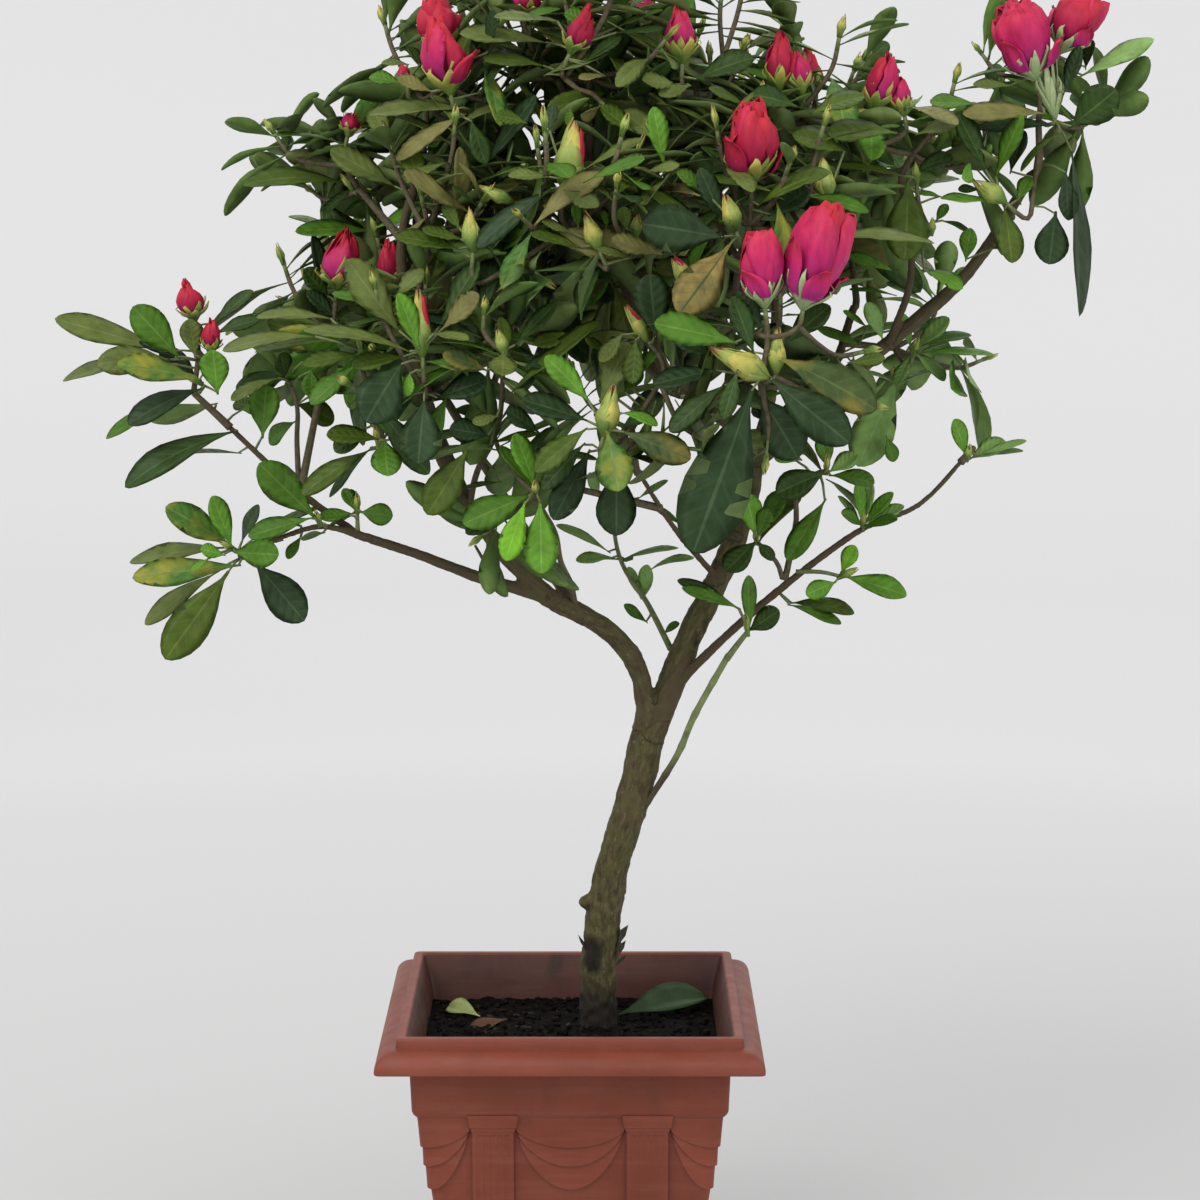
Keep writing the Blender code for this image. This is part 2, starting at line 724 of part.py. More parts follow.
def grow_twigs(mass, barrier, chance):
    """Twigs from the stem to each shoot's tip, each starting on the nearest wood."""
    stem = mass.stem
    forks = [stem.at(stem.length * share) for share in FORKS]
    found = []
    for tip, kind in shoot_tips(mass, chance):
        start = min(forks, key=lambda point: (point - tip).length)
        way = (tip - mass.centre) * OUTWARD + Vector((0, 0, UPWARD)) + (tip - start).normalized() * ONWARD
        way.normalize()
        neck = min(NECK_LENGTH, (tip - start).length * NECK_SHARE)
        twig = Limb("twig", stem, [start, tip - way * neck, tip], *TWIG_RADIUS, bent=False)
        body = tube(twig, twig.lengths, TWIG_SIDES)
        if mass.holds(body[0]) and not blocked(body, [barrier]):
            ends = [] if kind == "leafy" else [head(tip, way, kind, scale) for scale in HEAD_SIZES]
            ends = [end for end in ends if mass.holds(end[0]) and not blocked(end, [barrier])]
            found.append((twig, [body] + ends[:1]))
            forks.append(twig.at(twig.length / 2))
    return found


def grow_leaves(mass, twig, barriers, found, chance):
    """A whorl of leaves: the lower ones spread wide and the upper ones stand up."""
    way = twig.heading(twig.length)
    side = way.orthogonal().normalized()
    over = way.cross(side)
    turn = chance.uniform(0, math.tau)
    for k in range(LEAVES_PER_SHOOT):
        turn += GOLDEN_ANGLE
        share = k / (LEAVES_PER_SHOOT - 1)
        length = chance.uniform(*LEAF_LENGTH) * (1.0 - LEAF_SHRINK * share)
        lift = LEAF_LIFT[0] + (LEAF_LIFT[1] - LEAF_LIFT[0]) * share
        lift = math.radians(lift + chance.uniform(-LEAF_STRAY, LEAF_STRAY))
        seat = twig.at(twig.length - LEAF_SEAT - LEAF_SPACING * (LEAVES_PER_SHOOT - 1 - k))
        for size, change in [(size, change) for size in LEAF_SIZES for change in LEAF_TURNS]:
            angle = turn + math.radians(change)
            away = side * math.cos(angle) + over * math.sin(angle)
            along = away * math.cos(lift) + way * math.sin(lift)
            up = way * math.cos(lift) - away * math.sin(lift)
            blade = leaf(seat - along * LEAF_SUNK, along, up, length * size)
            if mass.holds(blade[0]) and not blocked(blade, barriers):
                if not found or not blocked(blade, [tree_of(found)]):
                    found.append(blade)
                    break


def grow_mass(mass, barrier, chance):
    """The stem, twigs, heads and leaves of one mass, as solids that overlap at their roots."""
    solids = [stem_solid(mass)]
    shoots = grow_twigs(mass, barrier, chance)
    leaves = []
    for twig, parts in shoots:
        wood = parts[1:] + [part for other, more in shoots if other is not twig for part in more]
        barriers = [barrier, tree_of(wood)] if wood else [barrier]
        grow_leaves(mass, twig, barriers, leaves, chance)
        solids += parts
    return solids + leaves


def find_joints(growing):
    """Where each limb parts from the one that carries it."""
    for limb in growing:
        if limb.parent:
            near = [other for other in growing if other.parent is limb.parent and other is not limb]
            limb.joint = joint_length(limb, [limb.parent] + near)


def limb_solids(limb, growing, extra=0.0):
    """A limb with the first stretch of all that grows from its side."""
    if limb.parent:
        stations = spaced(limb.joint + GAP, limb.length, LIMB_STEP)
    else:
        stations = spaced(0.0, limb.length, LIMB_STEP)
        stations.insert(1, FLARE_RING)
    solids = [tube(limb, stations, sides_for(limb.radii[0]), extra)]
    for child in growing:
        if child.parent is limb:
            stations = spaced(0.0, child.joint, STUB_STEP)
            solids.append(tube(child, stations, sides_for(child.radii[0]), extra))
    return solids


def cut_stub(trunk):
    """What is left of a branch that was cut off low on the trunk."""
    points, start_radius, end_radius = CUT_STUB
    stub = Limb("cut_stub", trunk, [Vector(point) for point in points], start_radius, end_radius, bent=False)
    return tube(stub, stub.lengths, sides_for(start_radius))


def stem_solid(mass, extra=0.0):
    stations = spaced(mass.stem.joint + GAP, mass.stem.length, LIMB_STEP)
    return tube(mass.stem, stations, STEM_SIDES, extra)


def build():
    clear_scene()
    build_pot()
    build_soil()
    limbs = {}
    for name, (parent, points, start, end) in LIMBS.items():
        limbs[name] = Limb(name, limbs.get(parent), points, start, end)
    masses = [Mass(name, limbs[spec[0]], *spec[1:]) for name, spec in MASSES.items()]
    for mass in masses:
        mass.share_space(masses)
        mass.add_stem()
    growing = list(limbs.values()) + [mass.stem for mass in masses if not mass.at_tip]
    find_joints(growing)
    for name, limb in limbs.items():
        solids = limb_solids(limb, growing)
        if name == "trunk":
            solids.append(cut_stub(limb))
        fuse(name, solids, "young_bark" if name == "green_shoot" else "bark")
    walls = [wall for limb in limbs.values() for wall in limb_solids(limb, growing, LIMB_CLEAR)]
    for number, mass in enumerate(masses):
        stems = [stem_solid(other, LIMB_CLEAR) for other in masses if other is not mass]
        chance = random.Random(SEED + number)
        fuse("foliage_" + mass.name, grow_mass(mass, tree_of(walls + stems), chance), "foliage")


build()
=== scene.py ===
import math
import random

import bpy
from mathutils import Matrix, Vector, noise
from mathutils.bvhtree import BVHTree
from mathutils.kdtree import KDTree


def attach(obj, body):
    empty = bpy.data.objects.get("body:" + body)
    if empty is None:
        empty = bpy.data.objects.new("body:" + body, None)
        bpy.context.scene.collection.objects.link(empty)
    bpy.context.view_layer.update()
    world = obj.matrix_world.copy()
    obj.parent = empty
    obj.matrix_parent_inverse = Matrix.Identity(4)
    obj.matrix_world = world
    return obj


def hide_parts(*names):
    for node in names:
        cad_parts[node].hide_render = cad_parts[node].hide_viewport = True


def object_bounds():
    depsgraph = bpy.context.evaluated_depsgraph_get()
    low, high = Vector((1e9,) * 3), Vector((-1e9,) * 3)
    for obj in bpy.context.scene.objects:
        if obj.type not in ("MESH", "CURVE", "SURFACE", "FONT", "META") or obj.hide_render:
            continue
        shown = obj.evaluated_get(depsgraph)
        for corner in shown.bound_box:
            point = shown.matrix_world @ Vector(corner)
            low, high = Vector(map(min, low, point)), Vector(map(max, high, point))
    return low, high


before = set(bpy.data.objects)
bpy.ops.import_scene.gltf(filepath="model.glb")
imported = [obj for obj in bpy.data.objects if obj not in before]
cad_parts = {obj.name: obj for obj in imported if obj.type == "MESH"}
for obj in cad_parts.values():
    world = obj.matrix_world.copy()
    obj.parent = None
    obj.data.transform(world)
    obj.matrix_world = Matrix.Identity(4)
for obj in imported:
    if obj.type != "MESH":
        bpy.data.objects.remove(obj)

cad_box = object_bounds()

# Pot shell: one moulding of red-brown plastic. A square foot, four leaning walls and a plain
# band rise to a rim that is rolled outward over a hollow lip, with a collar standing on it.
# Four round drain holes go through the floor.
MM = 0.001
POT_HEIGHT = 150.0
FOOT_HALF = 49.5
WALL_LEAN = 0.1594
WALL = 2.5
FLOOR = 3.0
POT_CORNER = 2.2
BAND_BOTTOM = 111.3
LIP_HEIGHT = 135.7
LIP_HALF = 85.0
THROAT_HALF = 67.7
COLLAR_HALF = 76.0
COLLAR_FOOT = 145.5
MOUTH_HALF = 71.4
ROLL_STEPS = 9
DRAIN_AT = 24.0
DRAIN_RADIUS = 4.0


def wall_half(height):
    """Half width of the outside of the leaning walls."""
    return FOOT_HALF + WALL_LEAN * height


def pot_outline():
    """Half widths and heights up the outside, over the rim and down the inside."""
    outline = [
        (FOOT_HALF + 1.1, 0.0),
        (FOOT_HALF + 1.6, 0.6),
        (wall_half(10.0) + 1.5, 10.0),
        (wall_half(12.0), 12.0),
        (wall_half(BAND_BOTTOM), BAND_BOTTOM),
        (69.0, 113.4),
        (69.6, 114.9),
        (70.7, 140.7),
        (79.0, 138.2),
        (82.8, LIP_HEIGHT),
        (LIP_HALF - 0.3, LIP_HEIGHT),
        (LIP_HALF, LIP_HEIGHT + 0.3),
    ]
    roll_foot = LIP_HEIGHT + 1.4
    for k in range(ROLL_STEPS + 1):
        turn = math.radians(90) * k / ROLL_STEPS
        half = COLLAR_HALF + (LIP_HALF - COLLAR_HALF) * math.cos(turn)
        outline.append((half, roll_foot + (COLLAR_FOOT - roll_foot) * math.sin(turn)))
    return outline + [
        (COLLAR_HALF, POT_HEIGHT - 1.1),
        (COLLAR_HALF - 0.4, POT_HEIGHT - 0.3),
        (COLLAR_HALF - 1.2, POT_HEIGHT),
        (MOUTH_HALF + 0.8, POT_HEIGHT),
        (MOUTH_HALF, POT_HEIGHT - 0.8),
        (THROAT_HALF, LIP_HEIGHT),
        (wall_half(BAND_BOTTOM) - WALL, BAND_BOTTOM),
        (wall_half(FLOOR) - WALL, FLOOR),
    ]


def open_piece(name):
    """Name the primitive just added and open it in edit mode, all of it selected."""
    piece = bpy.context.object
    piece.name = name
    piece.data.name = name
    bpy.ops.object.mode_set(mode="EDIT")
    bpy.ops.mesh.select_all(action="SELECT")
    return piece


def move_points(piece, place, selected_only=False):
    """Move the points of a piece in edit mode; place() takes and gives millimetres."""
    bpy.ops.object.mode_set(mode="OBJECT")
    for point in piece.data.vertices:
        if point.select or not selected_only:
            point.co = Vector(place(point.co / MM)) * MM
    bpy.ops.object.mode_set(mode="EDIT")


def close_piece(piece, smooth=30.0):
    """Leave edit mode with the doubles merged and the faces outward, place it in its mesh."""
    bpy.ops.mesh.select_all(action="SELECT")
    bpy.ops.mesh.remove_doubles(threshold=1e-6)
    bpy.ops.mesh.normals_make_consistent(inside=False)
    bpy.ops.object.mode_set(mode="OBJECT")
    bpy.ops.object.transform_apply(location=True, rotation=True, scale=True)
    bpy.ops.object.shade_smooth_by_angle(angle=math.radians(smooth))


def select_only(piece):
    """Make a piece the one that is selected and active."""
    bpy.ops.object.select_all(action="DESELECT")
    piece.select_set(True)
    bpy.context.view_layer.objects.active = piece


def apply_modifier(piece, kind, **settings):
    """Add a modifier with these settings to a piece and apply it."""
    bpy.context.view_layer.objects.active = piece
    made = piece.modifiers.new(kind.lower(), kind)
    for key, value in settings.items():
        setattr(made, key, value)
    bpy.ops.object.modifier_apply(modifier=made.name)


def join_pieces(pieces, name):
    """Several pieces as one object with this name."""
    bpy.ops.object.select_all(action="DESELECT")
    for piece in pieces:
        piece.select_set(True)
    bpy.context.view_layer.objects.active = pieces[0]
    bpy.ops.object.join()
    joined = bpy.context.object
    joined.name = name
    joined.data.name = name
    return joined


def remove_piece(piece):
    bpy.data.meshes.remove(piece.data)


def settle(piece, nodes):
    """The piece rides on the plant's body and stands for its nodes, which are hidden."""
    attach(piece, "root")
    if nodes:
        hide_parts(*nodes)


bpy.ops.object.select_all(action="DESELECT")
outline = pot_outline()
bpy.ops.mesh.primitive_plane_add(size=2 * outline[0][0] * MM)
pot_shell = open_piece("pot_shell")
bpy.ops.mesh.select_mode(type="VERT")
bpy.ops.mesh.bevel(offset=POT_CORNER * MM, segments=4, affect="VERTICES")
bpy.ops.mesh.select_mode(type="FACE")
for (half, height), (next_half, next_height) in zip(outline, outline[1:]):
    rise = (next_height - height) * MM
    bpy.ops.mesh.extrude_region_move(TRANSFORM_OT_translate={"value": (0, 0, rise)})
    spread = next_half - half
    move_points(
        pot_shell,
        lambda p: (p.x + spread * math.copysign(1, p.x), p.y + spread * math.copysign(1, p.y), p.z),
        selected_only=True,
    )
close_piece(pot_shell)
holes = []
for x in (-DRAIN_AT, DRAIN_AT):
    for y in (-DRAIN_AT, DRAIN_AT):
        bpy.ops.mesh.primitive_cylinder_add(
            vertices=28, radius=DRAIN_RADIUS * MM, depth=12.0 * MM, location=(x * MM, y * MM, 1.5 * MM)
        )
        holes.append(bpy.context.object)
        bpy.ops.object.transform_apply(location=True)
hole_cutter = join_pieces(holes, "hole_cutter")
apply_modifier(pot_shell, "BOOLEAN", operation="DIFFERENCE", object=hole_cutter, solver="EXACT")
remove_piece(hole_cutter)
apply_modifier(
    pot_shell, "BEVEL", width=0.35 * MM, segments=2, limit_method="ANGLE", angle_limit=math.radians(32)
)
select_only(pot_shell)
bpy.ops.object.shade_smooth_by_angle(angle=math.radians(38))


class Finish:
    """A Principled material with small helpers for its procedural grain."""

    def __init__(self, name, roughness, **constants):
        self.material = bpy.data.materials.new(name)
        self.material.use_nodes = True
        self.nodes = self.material.node_tree.nodes
        self.links = self.material.node_tree.links
        self.shader = self.nodes["Principled BSDF"]
        self.shader.inputs["Roughness"].default_value = roughness
        for key, value in constants.items():
            self.shader.inputs[key.replace("_", " ")].default_value = value
        self.bump = None

    def coordinates(self, stretch, attribute=None):
        """Object coordinates, or a piece's own attribute, stretched along each axis."""
        if attribute:
            source = self.nodes.new("ShaderNodeAttribute")
            source.attribute_name = attribute
            socket = source.outputs["Vector"]
        else:
            socket = self.nodes.new("ShaderNodeTexCoord").outputs["Object"]
        mapping = self.nodes.new("ShaderNodeMapping")
        mapping.inputs["Scale"].default_value = stretch
        self.links.new(socket, mapping.inputs["Vector"])
        return mapping.outputs["Vector"]

    def split(self, socket):
        """The X, Y and Z of a vector."""
        made = self.nodes.new("ShaderNodeSeparateXYZ")
        self.links.new(socket, made.inputs["Vector"])
        return made.outputs

    def on_blade(self):
        """Where a place lies on its own petal, scale or leaf: X across it and Y along it."""
        spot = self.nodes.new("ShaderNodeUVMap")
        spot.uv_map = "spot"
        return self.split(spot.outputs["UV"])

    def fade(self, value, low, high, start=0.0, end=1.0):
        """Goes from start to end while the value goes from low to high."""
        made = self.nodes.new("ShaderNodeMapRange")
        for key, number in (("From Min", low), ("From Max", high), ("To Min", start), ("To Max", end)):
            made.inputs[key].default_value = number
        self.links.new(value, made.inputs["Value"])
        return made.outputs["Result"]

    def grain(self, scale, detail=4.0, stretch=(1, 1, 1), attribute=None, rough=0.55):
        """Noise between 0 and 1."""
        made = self.nodes.new("ShaderNodeTexNoise")
        made.inputs["Scale"].default_value = scale
        made.inputs["Detail"].default_value = detail
        made.inputs["Roughness"].default_value = rough
        self.links.new(self.coordinates(stretch, attribute), made.inputs["Vector"])
        return made.outputs["Fac"]

    def ramp(self, fac, stops):
        """Colours or grey levels along a 0 to 1 value."""
        made = self.nodes.new("ShaderNodeValToRGB")
        while len(made.color_ramp.elements) < len(stops):
            made.color_ramp.elements.new(1.0)
        for element, (place, colour) in zip(made.color_ramp.elements, stops):
            element.position = place
            element.color = (*colour, 1.0) if isinstance(colour, tuple) else (colour, colour, colour, 1.0)
        self.links.new(fac, made.inputs["Fac"])
        return made.outputs["Color"]

    def mix(self, fac, first, second, way="MIX"):
        """One colour over another; each is a socket or a plain colour."""
        made = self.nodes.new("ShaderNodeMix")
        made.data_type = "RGBA"
        made.blend_type = way
        for value, socket in ((fac, made.inputs[0]), (first, made.inputs[6]), (second, made.inputs[7])):
            if isinstance(value, bpy.types.NodeSocket):
                self.links.new(value, socket)
            else:
                socket.default_value = (*value, 1.0) if isinstance(value, tuple) else value
        return made.outputs[2]

    def over(self, body, colour, grain, low, high, most):
        """A second colour over the body where the grain goes from low to high, up to a share."""
        return self.mix(self.ramp(grain, ((low, 0.0), (high, most))), body, colour)

    def colour(self, socket):
        self.links.new(socket, self.shader.inputs["Base Color"])

    def roughness(self, fac, low, high):
        self.links.new(self.ramp(fac, ((0.3, low), (0.7, high))), self.shader.inputs["Roughness"])

    def relief(self, fac, depth, strength=1.0):
        """Bump of this depth in millimetres, on top of any earlier relief."""
        made = self.nodes.new("ShaderNodeBump")
        made.inputs["Distance"].default_value = depth * MM
        made.inputs["Strength"].default_value = strength
        self.links.new(fac, made.inputs["Height"])
        if self.bump:
            self.links.new(self.bump, made.inputs["Normal"])
        self.bump = made.outputs["Normal"]
        self.links.new(self.bump, self.shader.inputs["Normal"])


def pot_plastic(name, dark, light, dust, stain_and_shade, stained_and_shaded):
    """Satin red-brown plastic, sun-faded in patches, with fine dust, rubbed streaks and dark stains; as the
    pot's inside, the dark colours and heavy stains are painted shade.
    """
    plastic = Finish(name, 0.46, Specular_IOR_Level=0.30)
    body = plastic.ramp(plastic.grain(26.0, 5.0), ((0.30, dark), (0.68, light)))
    streaks = plastic.grain(240.0, 6.0, stretch=(0.09, 0.09, 1.0))
    body = plastic.over(body, dust, streaks, 0.50, 0.74, 0.30)
    body = plastic.over(body, stain_and_shade, plastic.grain(520.0, 3.0), 0.62, 0.76, 0.30)
    stain_and_shade_mask = plastic.grain(60.0, 4.0, stretch=(1.0, 1.0, 0.5))
    plastic.colour(plastic.over(body, stain_and_shade, stain_and_shade_mask, 0.56, 0.78, stained_and_shaded))
    plastic.roughness(plastic.grain(90.0, 5.0), 0.42, 0.58)
    plastic.relief(plastic.grain(700.0, 3.0), 0.05)
    plastic.relief(plastic.grain(45.0, 2.0), 0.35, 0.5)
    return plastic.material


pot_finish = pot_plastic(
    "pot_plastic",
    (0.160, 0.034, 0.017),
    (0.205, 0.048, 0.026),
    (0.250, 0.090, 0.060),
    (0.085, 0.028, 0.016),
    0.30,
)
# The pot's inside: the same plastic much darker and almost all stained near black, painted shade in the
# pot's hollow.
pot_inside_painted_shade = pot_plastic(
    "pot_inside_painted_shade",
    (0.056, 0.018, 0.012),
    (0.088, 0.031, 0.022),
    (0.120, 0.064, 0.048),
    (0.018, 0.011, 0.008),
    0.85,
)
pot_shell.data.materials.append(pot_finish)
pot_shell.data.materials.append(pot_inside_painted_shade)
# The inner walls and floor take the dark inside finish, painted shade; the rest of the shell keeps the
# outside one.
for face in pot_shell.data.polygons:
    middle = face.center / MM
    within = max(abs(middle.x), abs(middle.y)) < MOUTH_HALF + 0.3 and middle.z > 2.0
    if within and middle.dot(face.normal) < middle.z:
        deep = middle.z < POT_HEIGHT - 1.0 and middle.xy.dot(face.normal.xy) <= 0.0
        face.material_index = 1 if deep else 0
settle(pot_shell, ["pot"])

# Pot columns: two fluted columns stand on each wall, cast in one with it. Each has a foot block,
# a moulded neck and a capital that carries the plain band on down.
COLUMN_AT = 34.0
COLUMN_HALF = 9.1
COLUMN_PROUD = 1.6
COLUMN_ROOT = 1.2
SHAFT_LAP = 1.0
FLUTES = 5
FLUTE_DEEP = 0.55
BLOCK_FOOT = 8.0
BLOCK_TOP = 14.0
NECK_FOOT = 104.6
CAPITAL_FOOT = 107.3
CAPITAL_TOP = 113.3


def lean_block(name, half_foot, half_top, foot, top, proud_foot, proud_top, soft):
    """A block rooted in the leaning front wall, with its outer edges rounded off."""
    bpy.ops.mesh.primitive_cube_add(size=2 * MM, location=(0, 0, 0))
    block = open_piece(name)

    def place(p):
        low = p.z < 0
        height = foot if low else top
        half = half_foot if low else half_top
        proud = (proud_foot if low else proud_top) if p.y < 0 else -COLUMN_ROOT
        return (math.copysign(half, p.x), -(wall_half(height) + proud), height)

    move_points(block, place)
    close_piece(block)
    apply_modifier(block, "BEVEL", width=soft * MM, segments=3, limit_method="NONE")
    return block


def flute_depth(across):
    """How far the shaft's face is hollowed at this distance from its middle."""
    field = COLUMN_HALF - 1.5
    if abs(across) >= field:
        return 0.0
    return FLUTE_DEEP * abs(math.sin((across + field) / (2 * field) * math.pi * FLUTES))


bpy.ops.mesh.primitive_grid_add(x_subdivisions=60, y_subdivisions=1, size=2 * MM)
shaft = open_piece("column_shaft")
move_points(
    shaft,
    lambda p: (
        p.x * COLUMN_HALF,
        -wall_half(BLOCK_TOP) + (COLUMN_ROOT if p.y > 0 else flute_depth(p.x * COLUMN_HALF) - COLUMN_PROUD),
        BLOCK_TOP - SHAFT_LAP,
    ),
)
shaft_rise = NECK_FOOT - BLOCK_TOP + 2 * SHAFT_LAP
bpy.ops.mesh.select_all(action="SELECT")
bpy.ops.mesh.extrude_region_move(TRANSFORM_OT_translate={"value": (0, 0, shaft_rise * MM)})
move_points(shaft, lambda p: (p.x, p.y - WALL_LEAN * shaft_rise, p.z), selected_only=True)
close_piece(shaft, 25.0)
column = join_pieces(
    [
        shaft,
        lean_block("column_edge", 9.1, 9.1, NECK_FOOT - 0.6, NECK_FOOT + 0.8, 1.75, 1.75, 0.3),
        lean_block("column_neck", 9.6, 9.9, NECK_FOOT + 0.5, CAPITAL_FOOT + 0.6, 1.9, 2.1, 0.5),
        lean_block("column_capital", 10.4, 11.3, CAPITAL_FOOT, CAPITAL_TOP, 2.35, 1.95, 0.4),
        lean_block("column_foot", 11.3, 10.8, BLOCK_FOOT, BLOCK_TOP, 2.3, 2.1, 0.6),
    ],
    "pot_columns",
)


def copy_of(piece, move):
    """A copy of a piece with a mesh of its own, moved by a matrix."""
    twin = piece.copy()
    twin.data = piece.data.copy()
    twin.data.transform(move)
    bpy.context.scene.collection.objects.link(twin)
    return twin


def copies_round(piece, across):
    """Copies of a front-wall piece, moved across by each distance and turned to each wall."""
    made = []
    for quarter in range(4):
        turn = Matrix.Rotation(math.radians(90 * quarter), 4, "Z")
        made += [copy_of(piece, turn @ Matrix.Translation((move * MM, 0, 0))) for move in across]
    remove_piece(piece)
    return made


pot_columns = join_pieces(copies_round(column, (-COLUMN_AT, COLUMN_AT)), "pot_columns")
bpy.ops.object.shade_smooth_by_angle(angle=math.radians(40))
pot_columns.data.materials.append(pot_finish)
settle(pot_columns, [])

# Pot swags: shallow folds of cast drapery hang between the columns and round each corner. Each
# fold's lower edge laps over the next one, all in one with the wall.
FOLD_TOP = 105.8
FOLD_DROPS = (8.0, 17.0, 28.0)
FOLD_PROUD = (1.15, 1.35, 1.5)
FOLD_LAP = 0.95
FOLD_ROWS = 4
FOLD_THICK = 1.0
BAY_HALF = 23.6
BAY_COLUMNS = 48
CORNER_START = 44.4
CORNER_COLUMNS = 26


def wall_point(along, height, proud):
    """A point this far round from the middle of the front wall, standing proud of it."""
    half = wall_half(height)
    straight = half - POT_CORNER
    if abs(along) <= straight:
        return (along, -(half + proud), height)
    turn = min((abs(along) - straight) / POT_CORNER, math.radians(45))
    reach = POT_CORNER + proud
    x = straight + reach * math.sin(turn)
    return (math.copysign(x, along), -(straight + reach * math.cos(turn)), height)


def fold_rows():
    """For each row of a swag: which fold it is in, how far down it and how proud."""
    rows = [(0, 0.0, -0.5)]
    start = 0.0
    for fold, proud in enumerate(FOLD_PROUD):
        for k in range(FOLD_ROWS + 1):
            share = k / FOLD_ROWS
            swell = start + (proud - start) * share ** 1.15
            rows.append((fold, share, swell))
        start = proud - FOLD_LAP
    rows.append((len(FOLD_PROUD) - 1, 1.02, -0.7))
    return rows


def swag(name, columns, corner):
    """A sheet of folds over one bay, or over half of a corner bay, with its back in the wall."""
    rows = fold_rows()
    bpy.ops.mesh.primitive_grid_add(x_subdivisions=columns, y_subdivisions=len(rows) - 1, size=2 * MM)
    sheet = open_piece(name)

    def place(p):
        fold, share, proud = rows[round((1 - p.y) / 2 * (len(rows) - 1))]
        across = (p.x + 1) / 2 if corner else p.x
        aside = 1.0 - across if corner else across
        hang = max((1.0 - aside * aside) ** 0.75, 0.03)
        above = FOLD_DROPS[fold - 1] * hang if fold else -7.0
        drop = above + (FOLD_DROPS[fold] * hang - above) * share
        height = FOLD_TOP - drop
        edge = 0.55 + 0.45 * hang
        proud = proud * edge if proud > 0 else proud
        if not corner:
            return wall_point(across * BAY_HALF, height, proud)
        apex = wall_half(height) - POT_CORNER + POT_CORNER * math.radians(45)
        return wall_point(CORNER_START + (apex - CORNER_START) * across, height, proud)

    move_points(sheet, place)
    close_piece(sheet, 50.0)
    return sheet


right_corner = swag("corner_swag", CORNER_COLUMNS, corner=True)
left_corner = copy_of(right_corner, Matrix.Scale(-1, 4, (1, 0, 0)))
left_corner.data.flip_normals()
swags = join_pieces([swag("bay_swag", BAY_COLUMNS, corner=False), right_corner, left_corner], "pot_swags")
pot_swags = join_pieces(copies_round(swags, (0.0,)), "pot_swags")
bpy.ops.object.mode_set(mode="EDIT")
bpy.ops.mesh.select_all(action="SELECT")
bpy.ops.mesh.remove_doubles(threshold=0.02 * MM)
bpy.ops.object.mode_set(mode="OBJECT")
apply_modifier(pot_swags, "SOLIDIFY", thickness=FOLD_THICK * MM, offset=-1.0)
bpy.ops.object.shade_smooth_by_angle(angle=math.radians(35))
pot_swags.data.materials.append(pot_finish)
settle(pot_swags, [])

# Soil: black-brown peaty potting soil, uneven and moist, that fills the pot to just under its
# collar. It banks up a little at the trunk.
SOIL_TOP = 131.4
SOIL_CREST = 0.6
SOIL_SUNK = 9.0
SOIL_HALF = 66.6
TRUNK_AT = Vector((12.0, 15.0, 0.0))
SOIL_SEED = 7
soil_chance = random.Random(SOIL_SEED)


def soil_height(x, y):
    """Height of the soil's surface above the ground."""
    near = math.exp(-((x - TRUNK_AT.x) ** 2 + (y - TRUNK_AT.y) ** 2) / 420.0)
    edge = max(abs(x), abs(y)) / SOIL_HALF
    wide = noise.noise(Vector((x, y, 3.0)) / 24.0) * 1.5
    lumps = noise.fractal(Vector((x, y, 0.0)) / 5.5, 1.0, 2.1, 4) * 1.05
    return min(SOIL_TOP - 1.7 + near * 1.3 + wide + lumps - 0.8 * edge ** 6, SOIL_TOP + SOIL_CREST)


bpy.ops.mesh.primitive_grid_add(x_subdivisions=150, y_subdivisions=150, size=2 * MM)
soil = open_piece("soil_bed")
bpy.ops.mesh.extrude_region_move(TRANSFORM_OT_translate={"value": (0, 0, -SOIL_SUNK * MM)})
move_points(
    soil,
    lambda p: (
        p.x * SOIL_HALF,
        p.y * SOIL_HALF,
        SOIL_TOP - SOIL_SUNK if p.z < -1 else soil_height(p.x * SOIL_HALF, p.y * SOIL_HALF),
    ),
)
close_piece(soil, 60.0)


def black_soil(name, dark, light, wet):
    """Moist peat: near black, with brown crumbs and a faint wet gleam."""
    peat = Finish(name, 0.9, Specular_IOR_Level=0.06)
    crumbs = peat.grain(420.0, 6.0, rough=0.7)
    body = peat.ramp(crumbs, ((0.34, dark), (0.62, light)))
    peat.colour(peat.over(body, dark, peat.grain(55.0, 3.0), 0.4, 0.7, 0.55))
    peat.roughness(crumbs, wet, 0.95)
    peat.relief(crumbs, 0.9)
    return peat.material


soil.data.materials.append(black_soil("peat", (0.0018, 0.0016, 0.0013), (0.008, 0.006, 0.0045), 0.75))
settle(soil, ["soil"])

# Soil crumbs: loose lumps of peat and scraps of old bark and dead stalk that lie on the soil.
# Small round lumps and flat or long chips, each a low faceted body of its own.
CRUMBS = 900
CHIPS = 150
CRUMB_SIZE = 2.2
CHIP_SIZE = 2.6
CRUMB_MARGIN = 3.0
bpy.ops.mesh.primitive_ico_sphere_add(subdivisions=1, radius=1.0)
lump = bpy.context.object
ICO_POINTS = [point.co.copy() for point in lump.data.vertices]
ICO_FACES = [tuple(face.vertices) for face in lump.data.polygons]
remove_piece(lump)


